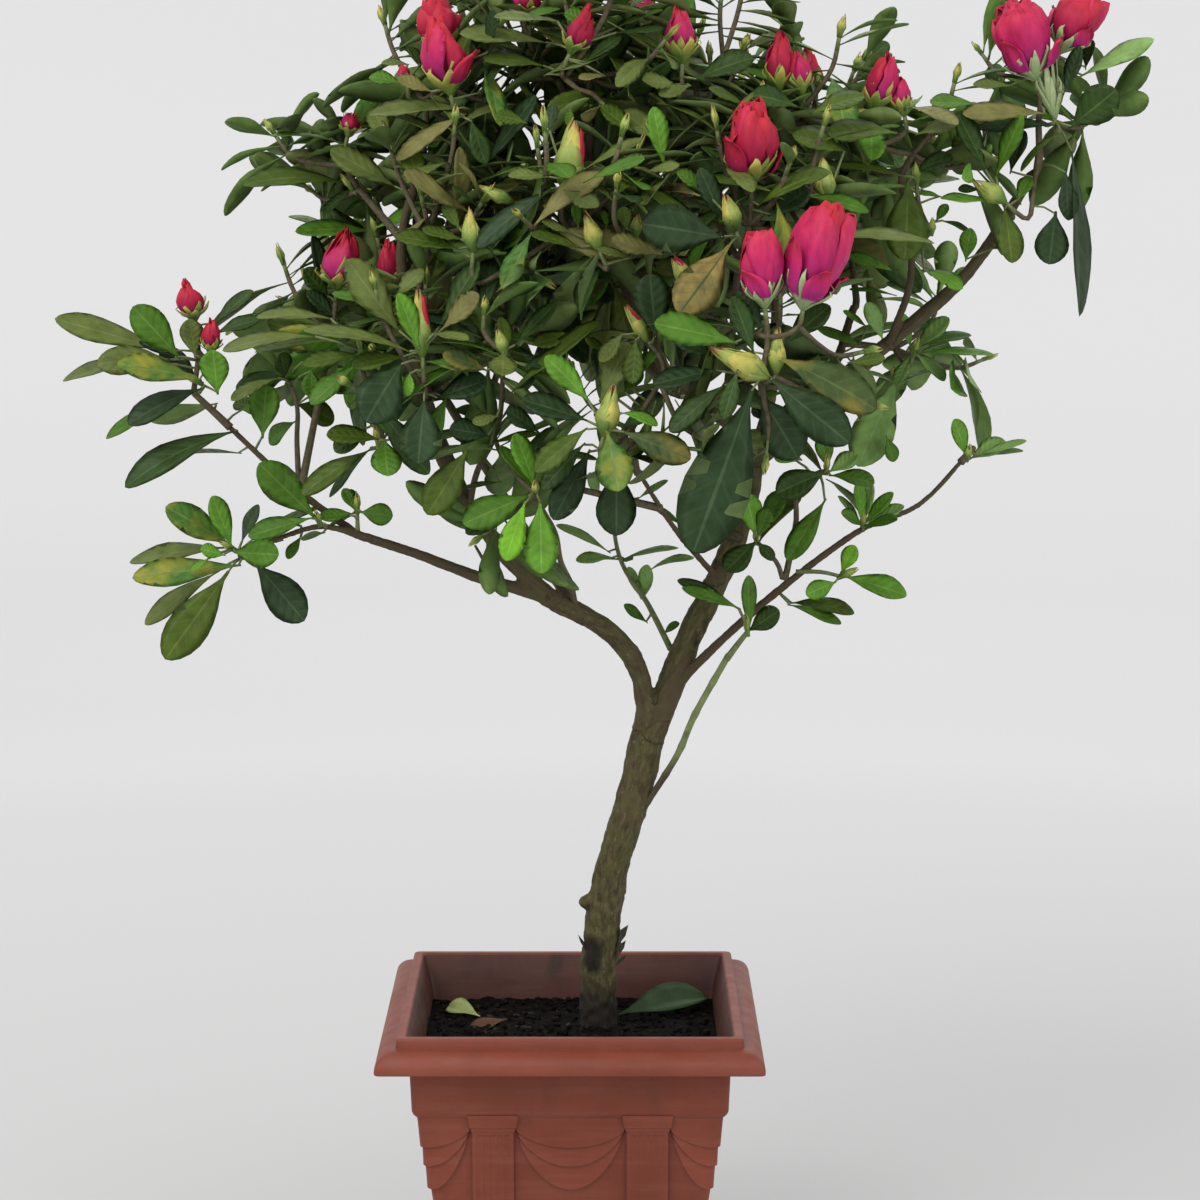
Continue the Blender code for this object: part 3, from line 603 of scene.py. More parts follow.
class Heap:
    """Many small bodies gathered as arrays and laid down as one piece."""

    def __init__(self):
        self.points = []
        self.faces = []
        self.slots = []
        self.spots = []

    def add(self, points, faces, slots=0, spots=None):
        """Add one body, in millimetres; slots is one material number or one per face."""
        first = len(self.points)
        self.points += points
        self.faces += [tuple(i + first for i in face) for face in faces]
        self.slots += [slots] * len(faces) if isinstance(slots, int) else slots
        self.spots += spots or [(0.0, 0.0)] * len(points)

    def lay(self, name, materials, smooth=180.0):
        """One piece of all the bodies, shaded smooth up to this angle."""
        mesh = bpy.data.meshes.new(name)
        mesh.from_pydata([Vector(point) * MM for point in self.points], [], self.faces)
        for material in materials:
            mesh.materials.append(material)
        mesh.polygons.foreach_set("material_index", self.slots)
        layer = mesh.uv_layers.new(name="spot")
        layer.data.foreach_set("uv", [c for loop in mesh.loops for c in self.spots[loop.vertex_index]])
        piece = bpy.data.objects.new(name, mesh)
        bpy.context.scene.collection.objects.link(piece)
        select_only(piece)
        bpy.ops.object.shade_smooth_by_angle(angle=math.radians(smooth))
        return piece


def on_soil(x, y, up):
    """A point this far above the soil's surface."""
    return Vector((x, y, soil_height(x, y) + up))


crumbs = Heap()
for number in range(CRUMBS + CHIPS):
    chip = number >= CRUMBS
    x = soil_chance.uniform(-1, 1) * (SOIL_HALF - CRUMB_MARGIN)
    y = soil_chance.uniform(-1, 1) * (SOIL_HALF - CRUMB_MARGIN)
    size = soil_chance.uniform(0.5, 1.0) ** 2 * (CHIP_SIZE if chip else CRUMB_SIZE)
    shape = Vector((1.0, soil_chance.uniform(0.6, 1.0), soil_chance.uniform(0.5, 0.9)))
    if chip:
        shape = Vector((soil_chance.uniform(1.2, 2.6), 0.55, 0.22))
    turn = Matrix.Rotation(soil_chance.uniform(0, math.tau), 3, "Z")
    tilt = Matrix.Rotation(soil_chance.uniform(-0.5, 0.5), 3, "X")
    middle = on_soil(x, y, size * shape.z * 0.35)
    body = []
    for corner in ICO_POINTS:
        rough = Vector(a * b * size * soil_chance.uniform(0.75, 1.15) for a, b in zip(corner, shape))
        body.append(middle + turn @ (tilt @ rough))
    crumbs.add(body, ICO_FACES, 1 + soil_chance.randrange(2) if chip else soil_chance.choice((0, 0, 0, 1)))
soil_crumbs = crumbs.lay(
    "soil_crumbs",
    [
        black_soil("crumb_peat", (0.002, 0.0017, 0.0014), (0.009, 0.007, 0.0055), 0.75),
        black_soil("crumb_brown", (0.006, 0.0045, 0.003), (0.024, 0.016, 0.010), 0.8),
        black_soil("crumb_grey", (0.014, 0.012, 0.009), (0.060, 0.050, 0.036), 0.85),
    ],
    35.0,
)
settle(soil_crumbs, [])

# Trunk and boughs: the azalea's own wood, one living piece from the soil to the ends of its
# limbs. Thin olive-brown bark with fine lengthwise ridges, a sawn stub and lifted flakes low
# down, near black towards the foot.
LIMBS = {
    "trunk": ([(12, 15, 129.5), (13, 13, 162), (18, 9, 204), (30, 4, 247), (38, 0, 286)], 8.1, 7.7),
    "leader": (
        [
            (36.8, 0.5, 272), (42.8, 0, 287.5), (49, 0, 303), (55.5, 1, 320),
            (63, 2, 334), (76, 6, 364), (84, 10, 398),
        ],
        6.8,
        4.5,
    ),
    "left_bough": (
        [(34.5, 1, 276), (33, -2, 288), (31, -5, 298), (26, -8, 309), (14, -14, 322), (-11, -22, 337)],
        4.5,
        4.7,
    ),
    "left_upper_bough": ([(-8, -21, 335), (-27, -28, 354), (-44, -36, 378), (-56, -50, 402)], 4.2, 2.5),
    "left_low_branch": ([(-7, -21, 335), (-40, -28, 346), (-70, -32, 358), (-94, -34, 366)], 3.0, 2.1),
    "left_tip_branch": ([(-92, -34, 365), (-117, -31, 383), (-134, -28, 398), (-151, -26, 414)], 2.0, 1.3),
    "left_low_twig": ([(-88, -34, 364), (-108, -39, 370), (-128, -43, 365)], 1.8, 1.2),
    "upper_left_bough": (
        [(-42, -34, 374), (-59, -27, 412), (-71, -17, 456), (-74, -13, 492), (-66, -12, 524)],
        3.4,
        2.0,
    ),
    "centre_bough": ([(83, 9, 394), (70, 4, 412), (44, 2, 430), (20, 10, 448)], 4.2, 2.8),
    "top_bough": ([(46, 1, 428), (28, -4, 464), (12, -4, 508), (8, 0, 545)], 3.0, 2.2),
    "front_bough": ([(66, 3, 414), (66, -32, 424), (70, -70, 438)], 2.7, 2.1),
    "front_left_bough": ([(66, 3, 341), (46, -32, 368), (30, -66, 396)], 1.7, 1.2),
    "right_centre_bough": ([(83, 9, 393), (90, 4, 430), (92, -2, 475), (93, -6, 518)], 3.4, 2.2),
    "right_bough": (
        [(83, 9, 394), (108, 18, 412), (136, 17, 440), (176, 2, 478), (203, -8, 522)],
        4.2,
        2.4,
    ),
    "right_up_branch": ([(143, 15, 446), (151, 0, 478), (146, -8, 516)], 2.0, 1.4),
    "right_low_branch": (
        [(37, 1, 276), (56, -7, 303), (92, -16, 338), (128, -10, 364), (156, 0, 375), (177, 9, 395)],
        2.4,
        1.2,
    ),
    "back_bough": ([(74, 5, 360), (62, 44, 402), (48, 82, 438)], 3.0, 2.2),
    "back_left_bough": ([(4, -17, 327), (-28, 20, 372), (-60, 58, 420)], 3.0, 2.1),
    "back_right_bough": ([(100, 15, 405), (120, 52, 430), (132, 82, 458)], 2.6, 2.0),
    "green_shoot": (
        [
            (31, 3, 233), (38, -1, 244.5), (43, -6, 253.5),
            (49, -12, 265.5), (55.5, -19, 283), (70, -26, 311),
        ],
        1.7,
        1.6,
    ),
}
CUT_STUB = ([(16, 11, 183), (6.8, 11, 192.5)], 4.8, 3.7)
FLARE = 0.6
FLARE_FADE = 7.0
CURVE_STEP = 3.0
VOXEL = 0.9
ROUGH_RADIUS = 7.0
ROUGH_BELOW = 225.0
ROUGH_FADE = 50.0


def smooth_line(points, step):
    """A smooth curve through the points, with a point about every step."""
    points = [Vector(point) for point in points]
    ends = [points[0] * 2 - points[1]] + points + [points[-1] * 2 - points[-2]]
    line = [points[0]]
    for a, b, c, d in zip(ends, ends[1:], ends[2:], ends[3:]):
        count = max(1, round((c - b).length / step))
        for k in range(1, count + 1):
            t = k / count
            curve = b * 2 + (c - a) * t
            curve += (a * 2 - b * 5 + c * 4 - d) * t ** 2
            curve += (b * 3 - a - c * 3 + d) * t ** 3
            line.append(curve * 0.5)
    return line


class Limb:
    """A tapering round limb along a smooth line."""

    def __init__(self, name, points, start_radius, end_radius, bent=True):
        self.name = name
        self.line = smooth_line(points, CURVE_STEP) if bent else [Vector(point) for point in points]
        self.radii = (start_radius, end_radius)
        self.lengths = [0.0]
        for a, b in zip(self.line, self.line[1:]):
            self.lengths.append(self.lengths[-1] + (b - a).length)
        self.length = self.lengths[-1]

    def at(self, where):
        """The point this far along, straight on past either end."""
        last = len(self.lengths) - 2
        i = 0
        while i < last and self.lengths[i + 1] < where:
            i += 1
        share = (where - self.lengths[i]) / (self.lengths[i + 1] - self.lengths[i])
        return self.line[i].lerp(self.line[i + 1], share)

    def heading(self, where):
        """Which way the limb goes there."""
        return (self.at(where + 0.5) - self.at(where - 0.5)).normalized()

    def radius(self, where):
        share = min(1.0, max(0.0, where / self.length))
        size = self.radii[0] + (self.radii[1] - self.radii[0]) * share
        if self.name == "trunk":
            size += FLARE * math.exp(-max(0.0, where - 2.2) / FLARE_FADE)
        return size


limbs = {name: Limb(name, *spec) for name, spec in LIMBS.items()}
stub = Limb("stub", *CUT_STUB, bent=False)


def round_limb(limb):
    """A limb swept as a round curve with a radius at every point, then made a mesh."""
    curve = bpy.data.curves.new(limb.name + "_wood", "CURVE")
    curve.dimensions = "3D"
    curve.bevel_depth = MM
    curve.bevel_resolution = 4
    curve.use_fill_caps = True
    spline = curve.splines.new("POLY")
    spline.points.add(len(limb.line) - 1)
    for point, place, where in zip(spline.points, limb.line, limb.lengths):
        point.co = (*(place * MM), 1.0)
        point.radius = limb.radius(where)
    made = bpy.data.objects.new(limb.name + "_wood", curve)
    bpy.context.scene.collection.objects.link(made)
    select_only(made)
    bpy.ops.object.convert(target="MESH")
    return bpy.context.object


WOODY = [limb for limb in limbs.values() if limb.name != "green_shoot"]
wood = join_pieces([round_limb(limb) for limb in WOODY + [stub]], "trunk_and_boughs")
apply_modifier(wood, "REMESH", mode="VOXEL", voxel_size=VOXEL * MM)
apply_modifier(wood, "SMOOTH", factor=0.5, iterations=5)

# Where each place on the bark lies along its limb and round it, for ridges that follow the limb
wood_tree = KDTree(sum(len(limb.line) * 3 for limb in WOODY))
stations = []
for limb in WOODY:
    count = len(limb.line) * 3
    for k in range(count):
        where = limb.length * k / (count - 1)
        wood_tree.insert(limb.at(where), len(stations))
        stations.append((limb, where))
wood_tree.balance()
wood_frames = []
for limb, where in stations:
    along = limb.heading(where)
    side = (Vector((1.0, 0.0, 0.0)) - along * along.x).normalized()
    wood_frames.append((limb, where, limb.at(where), along, side, along.cross(side)))
# Scars are dark and mostly sunk, knots stand out: the place, the reach and the height
SCARS = (
    ((8.4, 5.2, 168.0), 7.6, -1.6), ((8.6, 5.0, 161.5), 6.8, -1.2),
    ((4.0, 10.5, 171.0), 4.6, -0.6), ((23.8, 8.0, 176.0), 4.6, 0.6),
    ((57.5, -4.5, 312.0), 3.6, -0.8),
)
KNOTS = (
    ((24.0, 1.0, 226.0), 5.0, 0.7), ((46.0, -4.0, 309.0), 5.0, 1.2),
    ((52.5, -4.0, 305.0), 4.0, 0.8), ((-34.0, -27.0, 366.0), 3.0, 0.8),
    ((5.0, 11.0, 190.0), 6.0, 1.6), ((24.0, 12.0, 172.0), 6.0, 1.1),
    ((9.0, 5.0, 176.0), 5.0, 0.9), ((36.0, -6.0, 262.0), 4.0, 0.8),
    ((14.0, -18.0, 325.0), 3.0, 0.6), ((5.5, 8.0, 164.0), 9.0, 1.5),
    ((21.5, 10.0, 170.0), 7.0, 1.0), ((41.0, -5.0, 283.0), 5.0, 0.8),
)


def bark_place(point):
    """Limb radius and coordinates (round, round, along) of a point on the bark, in mm."""
    limb, where, middle, along, side, over = wood_frames[wood_tree.find(point)[1]]
    away = point - middle
    turn = math.atan2(away.dot(over), away.dot(side))
    size = limb.radius(where)
    return size, Vector((math.cos(turn) * size, math.sin(turn) * size, where + away.dot(along)))


def bark_cell(place, around, along, shift=(0, 0, 0)):
    """A place on the bark in the cells of a noise, with a pitch round the limb and one along it."""
    return Vector((place.x * around, place.y * around, place.z * along)) + Vector(shift)


places = []
grain_values = []
age_values = []
for vertex in wood.data.vertices:
    point = vertex.co / MM
    size, round_along = bark_place(point)
    thick = min(1.0, size / ROUGH_RADIUS)
    ridges = noise.fractal(bark_cell(round_along, 0.42, 0.07), 1.0, 2.0, 3)
    lumps = noise.noise(bark_cell(round_along, 0.16, 0.085, (9, 2, 5)))
    fine = noise.noise(bark_cell(round_along, 1.1, 0.35))
    knobs = noise.noise(bark_cell(round_along, 0.3, 0.22, (3, 8, 1)))
    low = max(0.0, min(1.0, (ROUGH_BELOW - point.z) / ROUGH_FADE))
    lift = thick * (ridges * 0.42 + lumps * 0.75 + knobs * (0.35 + low * 0.75))
    lift += fine * 0.22 * (0.5 + thick)
    for place, reach, height in SCARS + KNOTS:
        lift += height * math.exp(-((point - Vector(place)).length / reach) ** 2 * 2.0)
    places.append(point + vertex.normal * lift)
    grain_values += [c * MM for c in round_along]
    age_values.append(thick)
for vertex, place in zip(wood.data.vertices, places):
    vertex.co = place * MM
wood.data.attributes.new("grain", "FLOAT_VECTOR", "POINT").data.foreach_set("vector", grain_values)
wood.data.attributes.new("age", "FLOAT", "POINT").data.foreach_set("value", age_values)
wood.data.update()
select_only(wood)
bpy.ops.object.shade_smooth()


def azalea_bark():
    """Olive-brown bark streaked along the limb, greyer on thin limbs, near black towards the foot."""
    bark = Finish("bark", 0.86, Specular_IOR_Level=0.3)
    streaks = bark.grain(560.0, 6.0, stretch=(1.0, 1.0, 0.32), attribute="grain", rough=0.65)
    browns = (
        (0.30, (0.034, 0.028, 0.012)),
        (0.48, (0.072, 0.061, 0.025)),
        (0.62, (0.104, 0.089, 0.037)),
        (0.80, (0.17, 0.148, 0.075)),
    )
    body = bark.ramp(streaks, browns)
    moss = bark.grain(120.0, 5.0)
    body = bark.over(body, (0.085, 0.088, 0.026), moss, 0.45, 0.68, 0.55)
    dead = bark.grain(75.0, 4.0, stretch=(1.0, 1.0, 0.6), attribute="grain")
    body = bark.over(body, (0.125, 0.086, 0.047), dead, 0.56, 0.70, 0.5)
    patches = bark.grain(150.0, 5.0, stretch=(1.0, 1.0, 0.7), attribute="grain")
    body = bark.over(body, (0.030, 0.025, 0.012), patches, 0.54, 0.66, 0.6)
    flecks = bark.grain(760.0, 3.0, stretch=(1.0, 1.0, 0.5), attribute="grain")
    body = bark.over(body, (0.21, 0.178, 0.105), flecks, 0.64, 0.70, 0.55)
    thin = bark.nodes.new("ShaderNodeAttribute")
    thin.attribute_name = "age"
    fine_limbs = bark.ramp(thin.outputs["Fac"], ((0.34, 0.75), (0.80, 0.0)))
    body = bark.mix(fine_limbs, body, (0.076, 0.056, 0.031))
    # Near black towards the foot of the trunk, with a ragged upper edge.
    level = bark.fade(bark.split(bark.coordinates((1, 1, 1)))["Z"], 0.141, 0.162)
    ragged = bark.mix(0.45, level, bark.grain(260.0, 4.0))
    body = bark.mix(bark.ramp(ragged, ((0.28, 0.94), (0.62, 0.0))), body, (0.014, 0.010, 0.008))
    for place, reach, _ in SCARS:
        spot = bark.nodes.new("ShaderNodeVectorMath")
        spot.operation = "DISTANCE"
        bark.links.new(bark.coordinates((1, 1, 1)), spot.inputs[0])
        spot.inputs[1].default_value = Vector(place) * MM
        near = bark.fade(spot.outputs["Value"], reach * 0.55 * MM, reach * 0.95 * MM, 0.92, 0.0)
        body = bark.mix(near, body, (0.012, 0.009, 0.007))
    bark.colour(body)
    bark.relief(streaks, 0.7, 0.9)
    bark.relief(bark.grain(1500.0, 4.0, stretch=(1.0, 1.0, 0.4), attribute="grain"), 0.25, 0.8)
    return bark.material


wood.data.materials.append(azalea_bark())
settle(wood, [limb.name for limb in WOODY])

# Bark flakes: loose flakes of dead bark on the lower trunk. Small pointed plates that lift off
# the wood by one edge. For each: its root, which way it lifts, its span along the trunk, its thickness
FLAKES = (
    ((22.6, 8.0, 170.0), (4.2, -0.6, 2.0), (0.4, 0.3, 8.5), 3.0),
    ((22.8, 7.0, 166.0), (2.6, -0.6, 1.2), (0.2, 0.3, 6.0), 2.4),
    ((22.4, 11.5, 171.0), (3.2, 0.4, 1.6), (0.4, 0.2, 6.0), 1.6),
    ((21.8, 9.5, 160.5), (4.4, -0.8, 2.2), (0.3, 0.0, 3.4), 1.4),
    ((5.6, 9.5, 168.0), (-3.0, -0.5, 3.4), (-0.3, -0.4, 4.4), 1.1),
    ((6.4, 8.6, 188.0), (-2.0, -0.6, 2.6), (0.2, -0.4, 3.4), 1.2),
)
flakes = Heap()
for root, out, span, thick in FLAKES:
    root, out, span = Vector(root), Vector(out), Vector(span)
    face = out.cross(span).normalized() * thick
    foot = root - out * 0.4
    ends = [foot, foot + out * 0.9 + span * 0.45, foot + out * 1.15 + span, foot + out * 0.3 + span * 0.9]
    body = ends + [end + face * 0.6 for end in ends]
    flakes.add(body, [(3, 2, 1, 0), (4, 5, 6, 7), (0, 1, 5, 4), (1, 2, 6, 5), (2, 3, 7, 6), (3, 0, 4, 7)])
flake_bark = Finish("flake_bark", 0.9)
flake_browns = ((0.3, (0.014, 0.010, 0.007)), (0.7, (0.048, 0.036, 0.022)))
flake_bark.colour(flake_bark.ramp(flake_bark.grain(500.0, 4.0), flake_browns))
bark_flakes = flakes.lay("bark_flakes", [flake_bark.material], 30.0)
settle(bark_flakes, [])


def tube(points, radii, sides):
    """A closed round stalk through the points with a radius at each."""
    side = Vector((1.0, 0.0, 0.0))
    body = []
    faces = []
    for i, point in enumerate(points):
        along = (points[min(i + 1, len(points) - 1)] - points[max(i - 1, 0)]).normalized()
        if abs(along.dot(side)) > 0.95:
            side = along.orthogonal()
        side = (side - along * side.dot(along)).normalized()
        over = along.cross(side)
        for k in range(sides):
            turn = math.tau * k / sides
            body.append(point + (side * math.cos(turn) + over * math.sin(turn)) * radii[i])
    for i in range(len(points) - 1):
        low = i * sides
        for k in range(sides):
            after = (k + 1) % sides
            faces.append((low + k, low + after, low + sides + after, low + sides + k))
    faces.append(tuple(range(sides))[::-1])
    faces.append(tuple(range((len(points) - 1) * sides, len(points) * sides)))
    return body, faces


# Green shoot: a young unbranched shoot from low on the trunk, brown at its foot and green
# above, with smooth thin bark and small swellings where its buds sat.
SHOOT_STEPS = 26
green = limbs["green_shoot"]
stops = [green.length * k / SHOOT_STEPS for k in range(SHOOT_STEPS + 1)]
green_line = [green.at(where) for where in stops]
green_radii = [green.radius(where) * (0.92 + 0.14 * (k % 5 == 2)) for k, where in enumerate(stops)]
young = Heap()
young.add(*tube(green_line, green_radii, 10))
young_bark = Finish("young_bark", 0.6)
young_grain = young_bark.grain(260.0, 4.0)
young_skin = young_bark.ramp(young_grain, ((0.3, (0.105, 0.135, 0.040)), (0.7, (0.19, 0.235, 0.085))))
aged = young_bark.fade(young_bark.split(young_bark.coordinates((1, 1, 1)))["Z"], 0.252, 0.264, 0.92, 0.0)
young_bark.colour(young_bark.mix(aged, young_skin, (0.050, 0.036, 0.019)))
young_bark.relief(young_grain, 0.3)
green_stem = young.lay("green_shoot_stem", [young_bark.material])
settle(green_stem, ["green_shoot"])

# Sprays: each mass of foliage has a stem that leads off its limb to a hub, and twigs that fork
# from it toward the ends of the shoots. For each mass: its limb, how far along that the stem
# starts, the middle, the half sizes, and how many shoots grow in it besides the known ones.
MASSES = {
    "left_tip": ("left_tip_branch", 1.0, (-174, -26, 436), (70, 54, 46), 0),
    "left_low": ("left_low_twig", 1.0, (-152, -46, 352), (50, 46, 44), 0),
    "left_pair": ("left_tip_branch", 0.42, (-104, 2, 462), (56, 56, 52), 5),
    "left_front": ("left_upper_bough", 1.0, (-62, -78, 448), (58, 54, 60), 7),
    "drooping": ("front_left_bough", 0.7, (-18, -78, 396), (46, 46, 56), 2),
    "front_bud": ("front_left_bough", 1.0, (24, -106, 432), (54, 50, 64), 6),
    "front_pair": ("front_bough", 1.0, (90, -118, 452), (58, 52, 66), 5),
    "front_upper": ("front_bough", 0.75, (74, -76, 526), (58, 54, 50), 9),
    "centre_bud": ("top_bough", 0.45, (2, -82, 510), (56, 54, 52), 9),
    "middle_left": ("upper_left_bough", 0.55, (-54, -46, 512), (54, 52, 50), 9),
    "upper_left": ("upper_left_bough", 1.0, (-60, -14, 570), (54, 54, 50), 6),
    "upper_left_tip": ("upper_left_bough", 0.8, (-106, 4, 530), (52, 54, 46), 5),
    "top_left": ("top_bough", 0.85, (-16, 22, 588), (52, 52, 42), 6),
    "top_middle": ("top_bough", 1.0, (10, -38, 576), (50, 50, 48), 7),
    "top_right": ("right_centre_bough", 0.6, (58, -4, 580), (52, 54, 48), 6),
    "right_first": ("right_centre_bough", 1.0, (108, -10, 562), (50, 54, 48), 5),
    "right_second": ("right_up_branch", 1.0, (152, -14, 540), (52, 52, 54), 5),
    "right_middle": ("right_bough", 0.8, (190, -16, 490), (48, 50, 46), 1),
    "right_top": ("right_bough", 1.0, (206, -10, 560), (56, 54, 58), 2),
    "right_behind": ("back_right_bough", 0.75, (166, 72, 438), (50, 52, 46), 2),
    "right_low_tip": ("right_low_branch", 1.0, (184, 14, 402), (34, 34, 28), 0),
    "right_low": ("right_low_branch", 0.62, (130, -18, 384), (52, 46, 44), 0),
    "right_low_base": ("green_shoot", 1.0, (80, -30, 334), (46, 42, 32), 0),
    "stem_shoot": ("leader", 0.28, (22, 36, 352), (38, 38, 44), 0),
    "back_left": ("back_left_bough", 1.0, (-92, 84, 462), (60, 58, 52), 8),
    "back_middle_left": ("back_left_bough", 0.75, (-20, 112, 478), (60, 58, 54), 8),
    "back_middle": ("back_bough", 1.0, (58, 130, 480), (60, 58, 54), 8),
    "back_right": ("back_right_bough", 1.0, (130, 108, 504), (60, 58, 54), 8),
    "back_upper_left": ("upper_left_bough", 0.7, (-42, 70, 542), (60, 58, 50), 8),
    "back_upper": ("back_bough", 0.75, (34, 72, 566), (56, 56, 54), 8),
    "back_upper_right": ("right_centre_bough", 0.8, (102, 60, 546), (54, 56, 48), 8),
    "inner_middle": ("centre_bough", 1.0, (8, 22, 482), (54, 52, 48), 10),
}
# The ends of shoots that are known one by one: the mass, the place, what stands there, which way
# it leans, its length and radius, and how many leaves grow round it by the rule
LEADS = (
    ("left_tip", (-164, -26, 460), "half", (-0.12, 0, 1), 18, 6.4, 0),
    ("left_tip", (-156, -32, 446), "half", (0.02, -0.1, 1), 15, 4.6, 0),
    ("left_tip", (-162, -28, 432), "leafy", (-0.8, -0.1, 0.5), 0, 0, 1),
    ("left_tip", (-124, -15, 434), "leafy", (0.1, 0, 1), 0, 0, 2),
    ("left_low", (-146, -47, 361), "leafy", (-0.8, -0.2, 0.5), 0, 0, 1),
    ("left_low", (-109, -42, 372), "leafy", (-0.3, 0, 1), 0, 0, 0),
    ("left_low", (-93, -35, 377), "leafy", (0, 0, 1), 0, 0, 0),
    ("left_pair", (-103, -8, 473), "half", (0.1, -0.1, 1), 30, 8.6, 3),
    ("left_pair", (-80, -6, 474), "half", (0, -0.1, 1), 20, 6.4, 2),
    ("left_pair", (-86, 0, 496), "leafy", (-0.2, 0, 1), 0, 0, 3),
    ("left_front", (-61, -92, 450), "bud_red", (-0.06, 0, 1), 27, 4.9, 1),
    ("left_front", (-88, -72, 449), "leafy", (-0.2, 0, 1), 0, 0, 3),
    ("left_front", (-81, -74, 410), "leafy", (-0.1, -0.4, 0.8), 0, 0, 2),
    ("drooping", (-14, -90, 391), "leafy", (0, -0.3, 0.9), 0, 0, 0),
    ("front_bud", (15, -108, 418), "bud", (0.2, -0.05, 1), 20, 5.8, 0),
    ("front_bud", (-27, -92, 450), "bud", (-0.25, 0, 1), 11, 3.2, 2),
    ("front_bud", (32, -90, 456), "bud_red", (-0.55, 0, 0.9), 17, 3.6, 2),
    ("front_pair", (80, -122, 472), "blossom", (-0.1, -0.05, 1), 34, 8.8, 0),
    ("front_pair", (96, -120, 471), "blossom", (0.22, 0, 1), 46, 11.4, 0),
    ("front_pair", (80, -126, 443), "bud", (-0.86, -0.15, 0.46), 25, 6.5, 0),
    ("front_pair", (85, -119, 445), "bud", (0.02, 0, 1), 18, 4.6, 1),
    ("front_pair", (49, -104, 480), "bud_red", (-0.5, -0.1, 0.85), 13, 4, 2),
    ("front_upper", (76, -80, 520), "blossom", (-0.02, -0.1, 1), 35, 11.6, 3),
    ("front_upper", (69, -94, 502), "bud", (-0.32, -0.1, 1), 15, 4.6, 1),
    ("front_upper", (108, -72, 514), "bud", (-0.1, 0, 1), 16, 5.2, 3),
    ("centre_bud", (-1, -82, 520), "bud_red", (0.14, -0.05, 1), 27, 7.4, 1),
    ("centre_bud", (-40, -84, 493), "bud", (-0.1, 0, 1), 17, 4.6, 1),
    ("centre_bud", (-25, -72, 512), "bud", (-0.9, -0.1, 0.42), 14, 3.5, 1),
    ("centre_bud", (12, -92, 494), "bud", (-0.4, 0, 1), 15, 4.6, 1),
    ("centre_bud", (28, -82, 499), "bud", (0.1, 0, 1), 8, 3.2, 1),
    ("upper_left", (-51, -42, 558), "blossom", (-0.16, -0.05, 1), 33, 10.6, 2),
    ("upper_left", (-54, -20, 576), "blossom", (-0.2, 0, 1), 24, 9.6, 2),
    ("upper_left", (-70, -32, 562), "half", (-0.2, 0, 1), 8, 3, 1),
    ("upper_left_tip", (-97, -8, 540), "half", (0.2, 0, 1), 9, 4.4, 5),
    ("upper_left_tip", (-97, 2, 516), "leafy", (-0.6, 0, 0.8), 0, 0, 5),
    ("top_left", (-18, -8, 591), "half", (-0.1, 0, 1), 12, 6.4, 7),
    ("top_middle", (1, -44, 575), "half", (0.4, -0.1, 1), 21, 6, 3),
    ("top_right", (48, -42, 571), "half", (-0.08, 0, 1), 25, 7.6, 3),
    ("middle_left", (-63, -62, 516), "leafy", (-0.2, -0.3, 1), 0, 0, 7),
    ("right_first", (90, -26, 559), "half", (0.03, 0, 1), 27, 6.2, 4),
    ("right_first", (100, -28, 558), "half", (-0.12, 0, 1), 19, 5, 4),
    ("right_second", (132, -26, 551), "half", (0.28, 0, 1), 25, 6.2, 4),
    ("right_second", (144, -26, 549), "half", (-0.2, 0, 1), 16, 4.6, 4),
    ("right_middle", (151, -18, 520), "leafy", (-0.1, 0, 1), 0, 0, 3),
    ("right_middle", (158, -16, 497), "leafy", (0.1, 0, 1), 0, 0, 0),
    ("right_top", (202, -16, 564), "blossom", (-0.3, -0.05, 1), 36, 12, 0),
    ("right_top", (214, -12, 576), "blossom", (0.5, 0, 1), 30, 10.4, 0),
    ("right_top", (211, -14, 548), "calyx", (-0.22, 0, 1), 27, 6.4, 3),
    ("right_top", (188, -22, 511), "bud", (-0.82, -0.1, 0.58), 15, 5, 1),
    ("right_behind", (158, 56, 439), "leafy", (0.3, 0, 1), 0, 0, 3),
    ("right_behind", (150, 60, 427), "leafy", (-0.2, 0, 0.8), 0, 0, 3),
    ("right_low", (82, -27, 362), "leafy", (-0.1, -0.1, 1), 0, 0, 2),
    ("right_low", (113, -17, 392), "leafy", (0.1, 0, 1), 0, 0, 2),
    ("right_low", (130, -9, 366), "leafy", (0.1, 0, 1), 0, 0, 0),
    ("right_low", (120, -18, 345), "leafy", (0.8, -0.1, 0.4), 0, 0, 0),
    ("right_low_base", (78, -31, 322), "leafy", (-0.1, 0, 1), 0, 0, 0),
    ("right_low_tip", (178, 9, 395), "leafy", (0.2, 0, 1), 0, 0, 0),
    ("stem_shoot", (18, 34, 374), "leafy", (-0.1, 0, 1), 0, 0, 0),
)
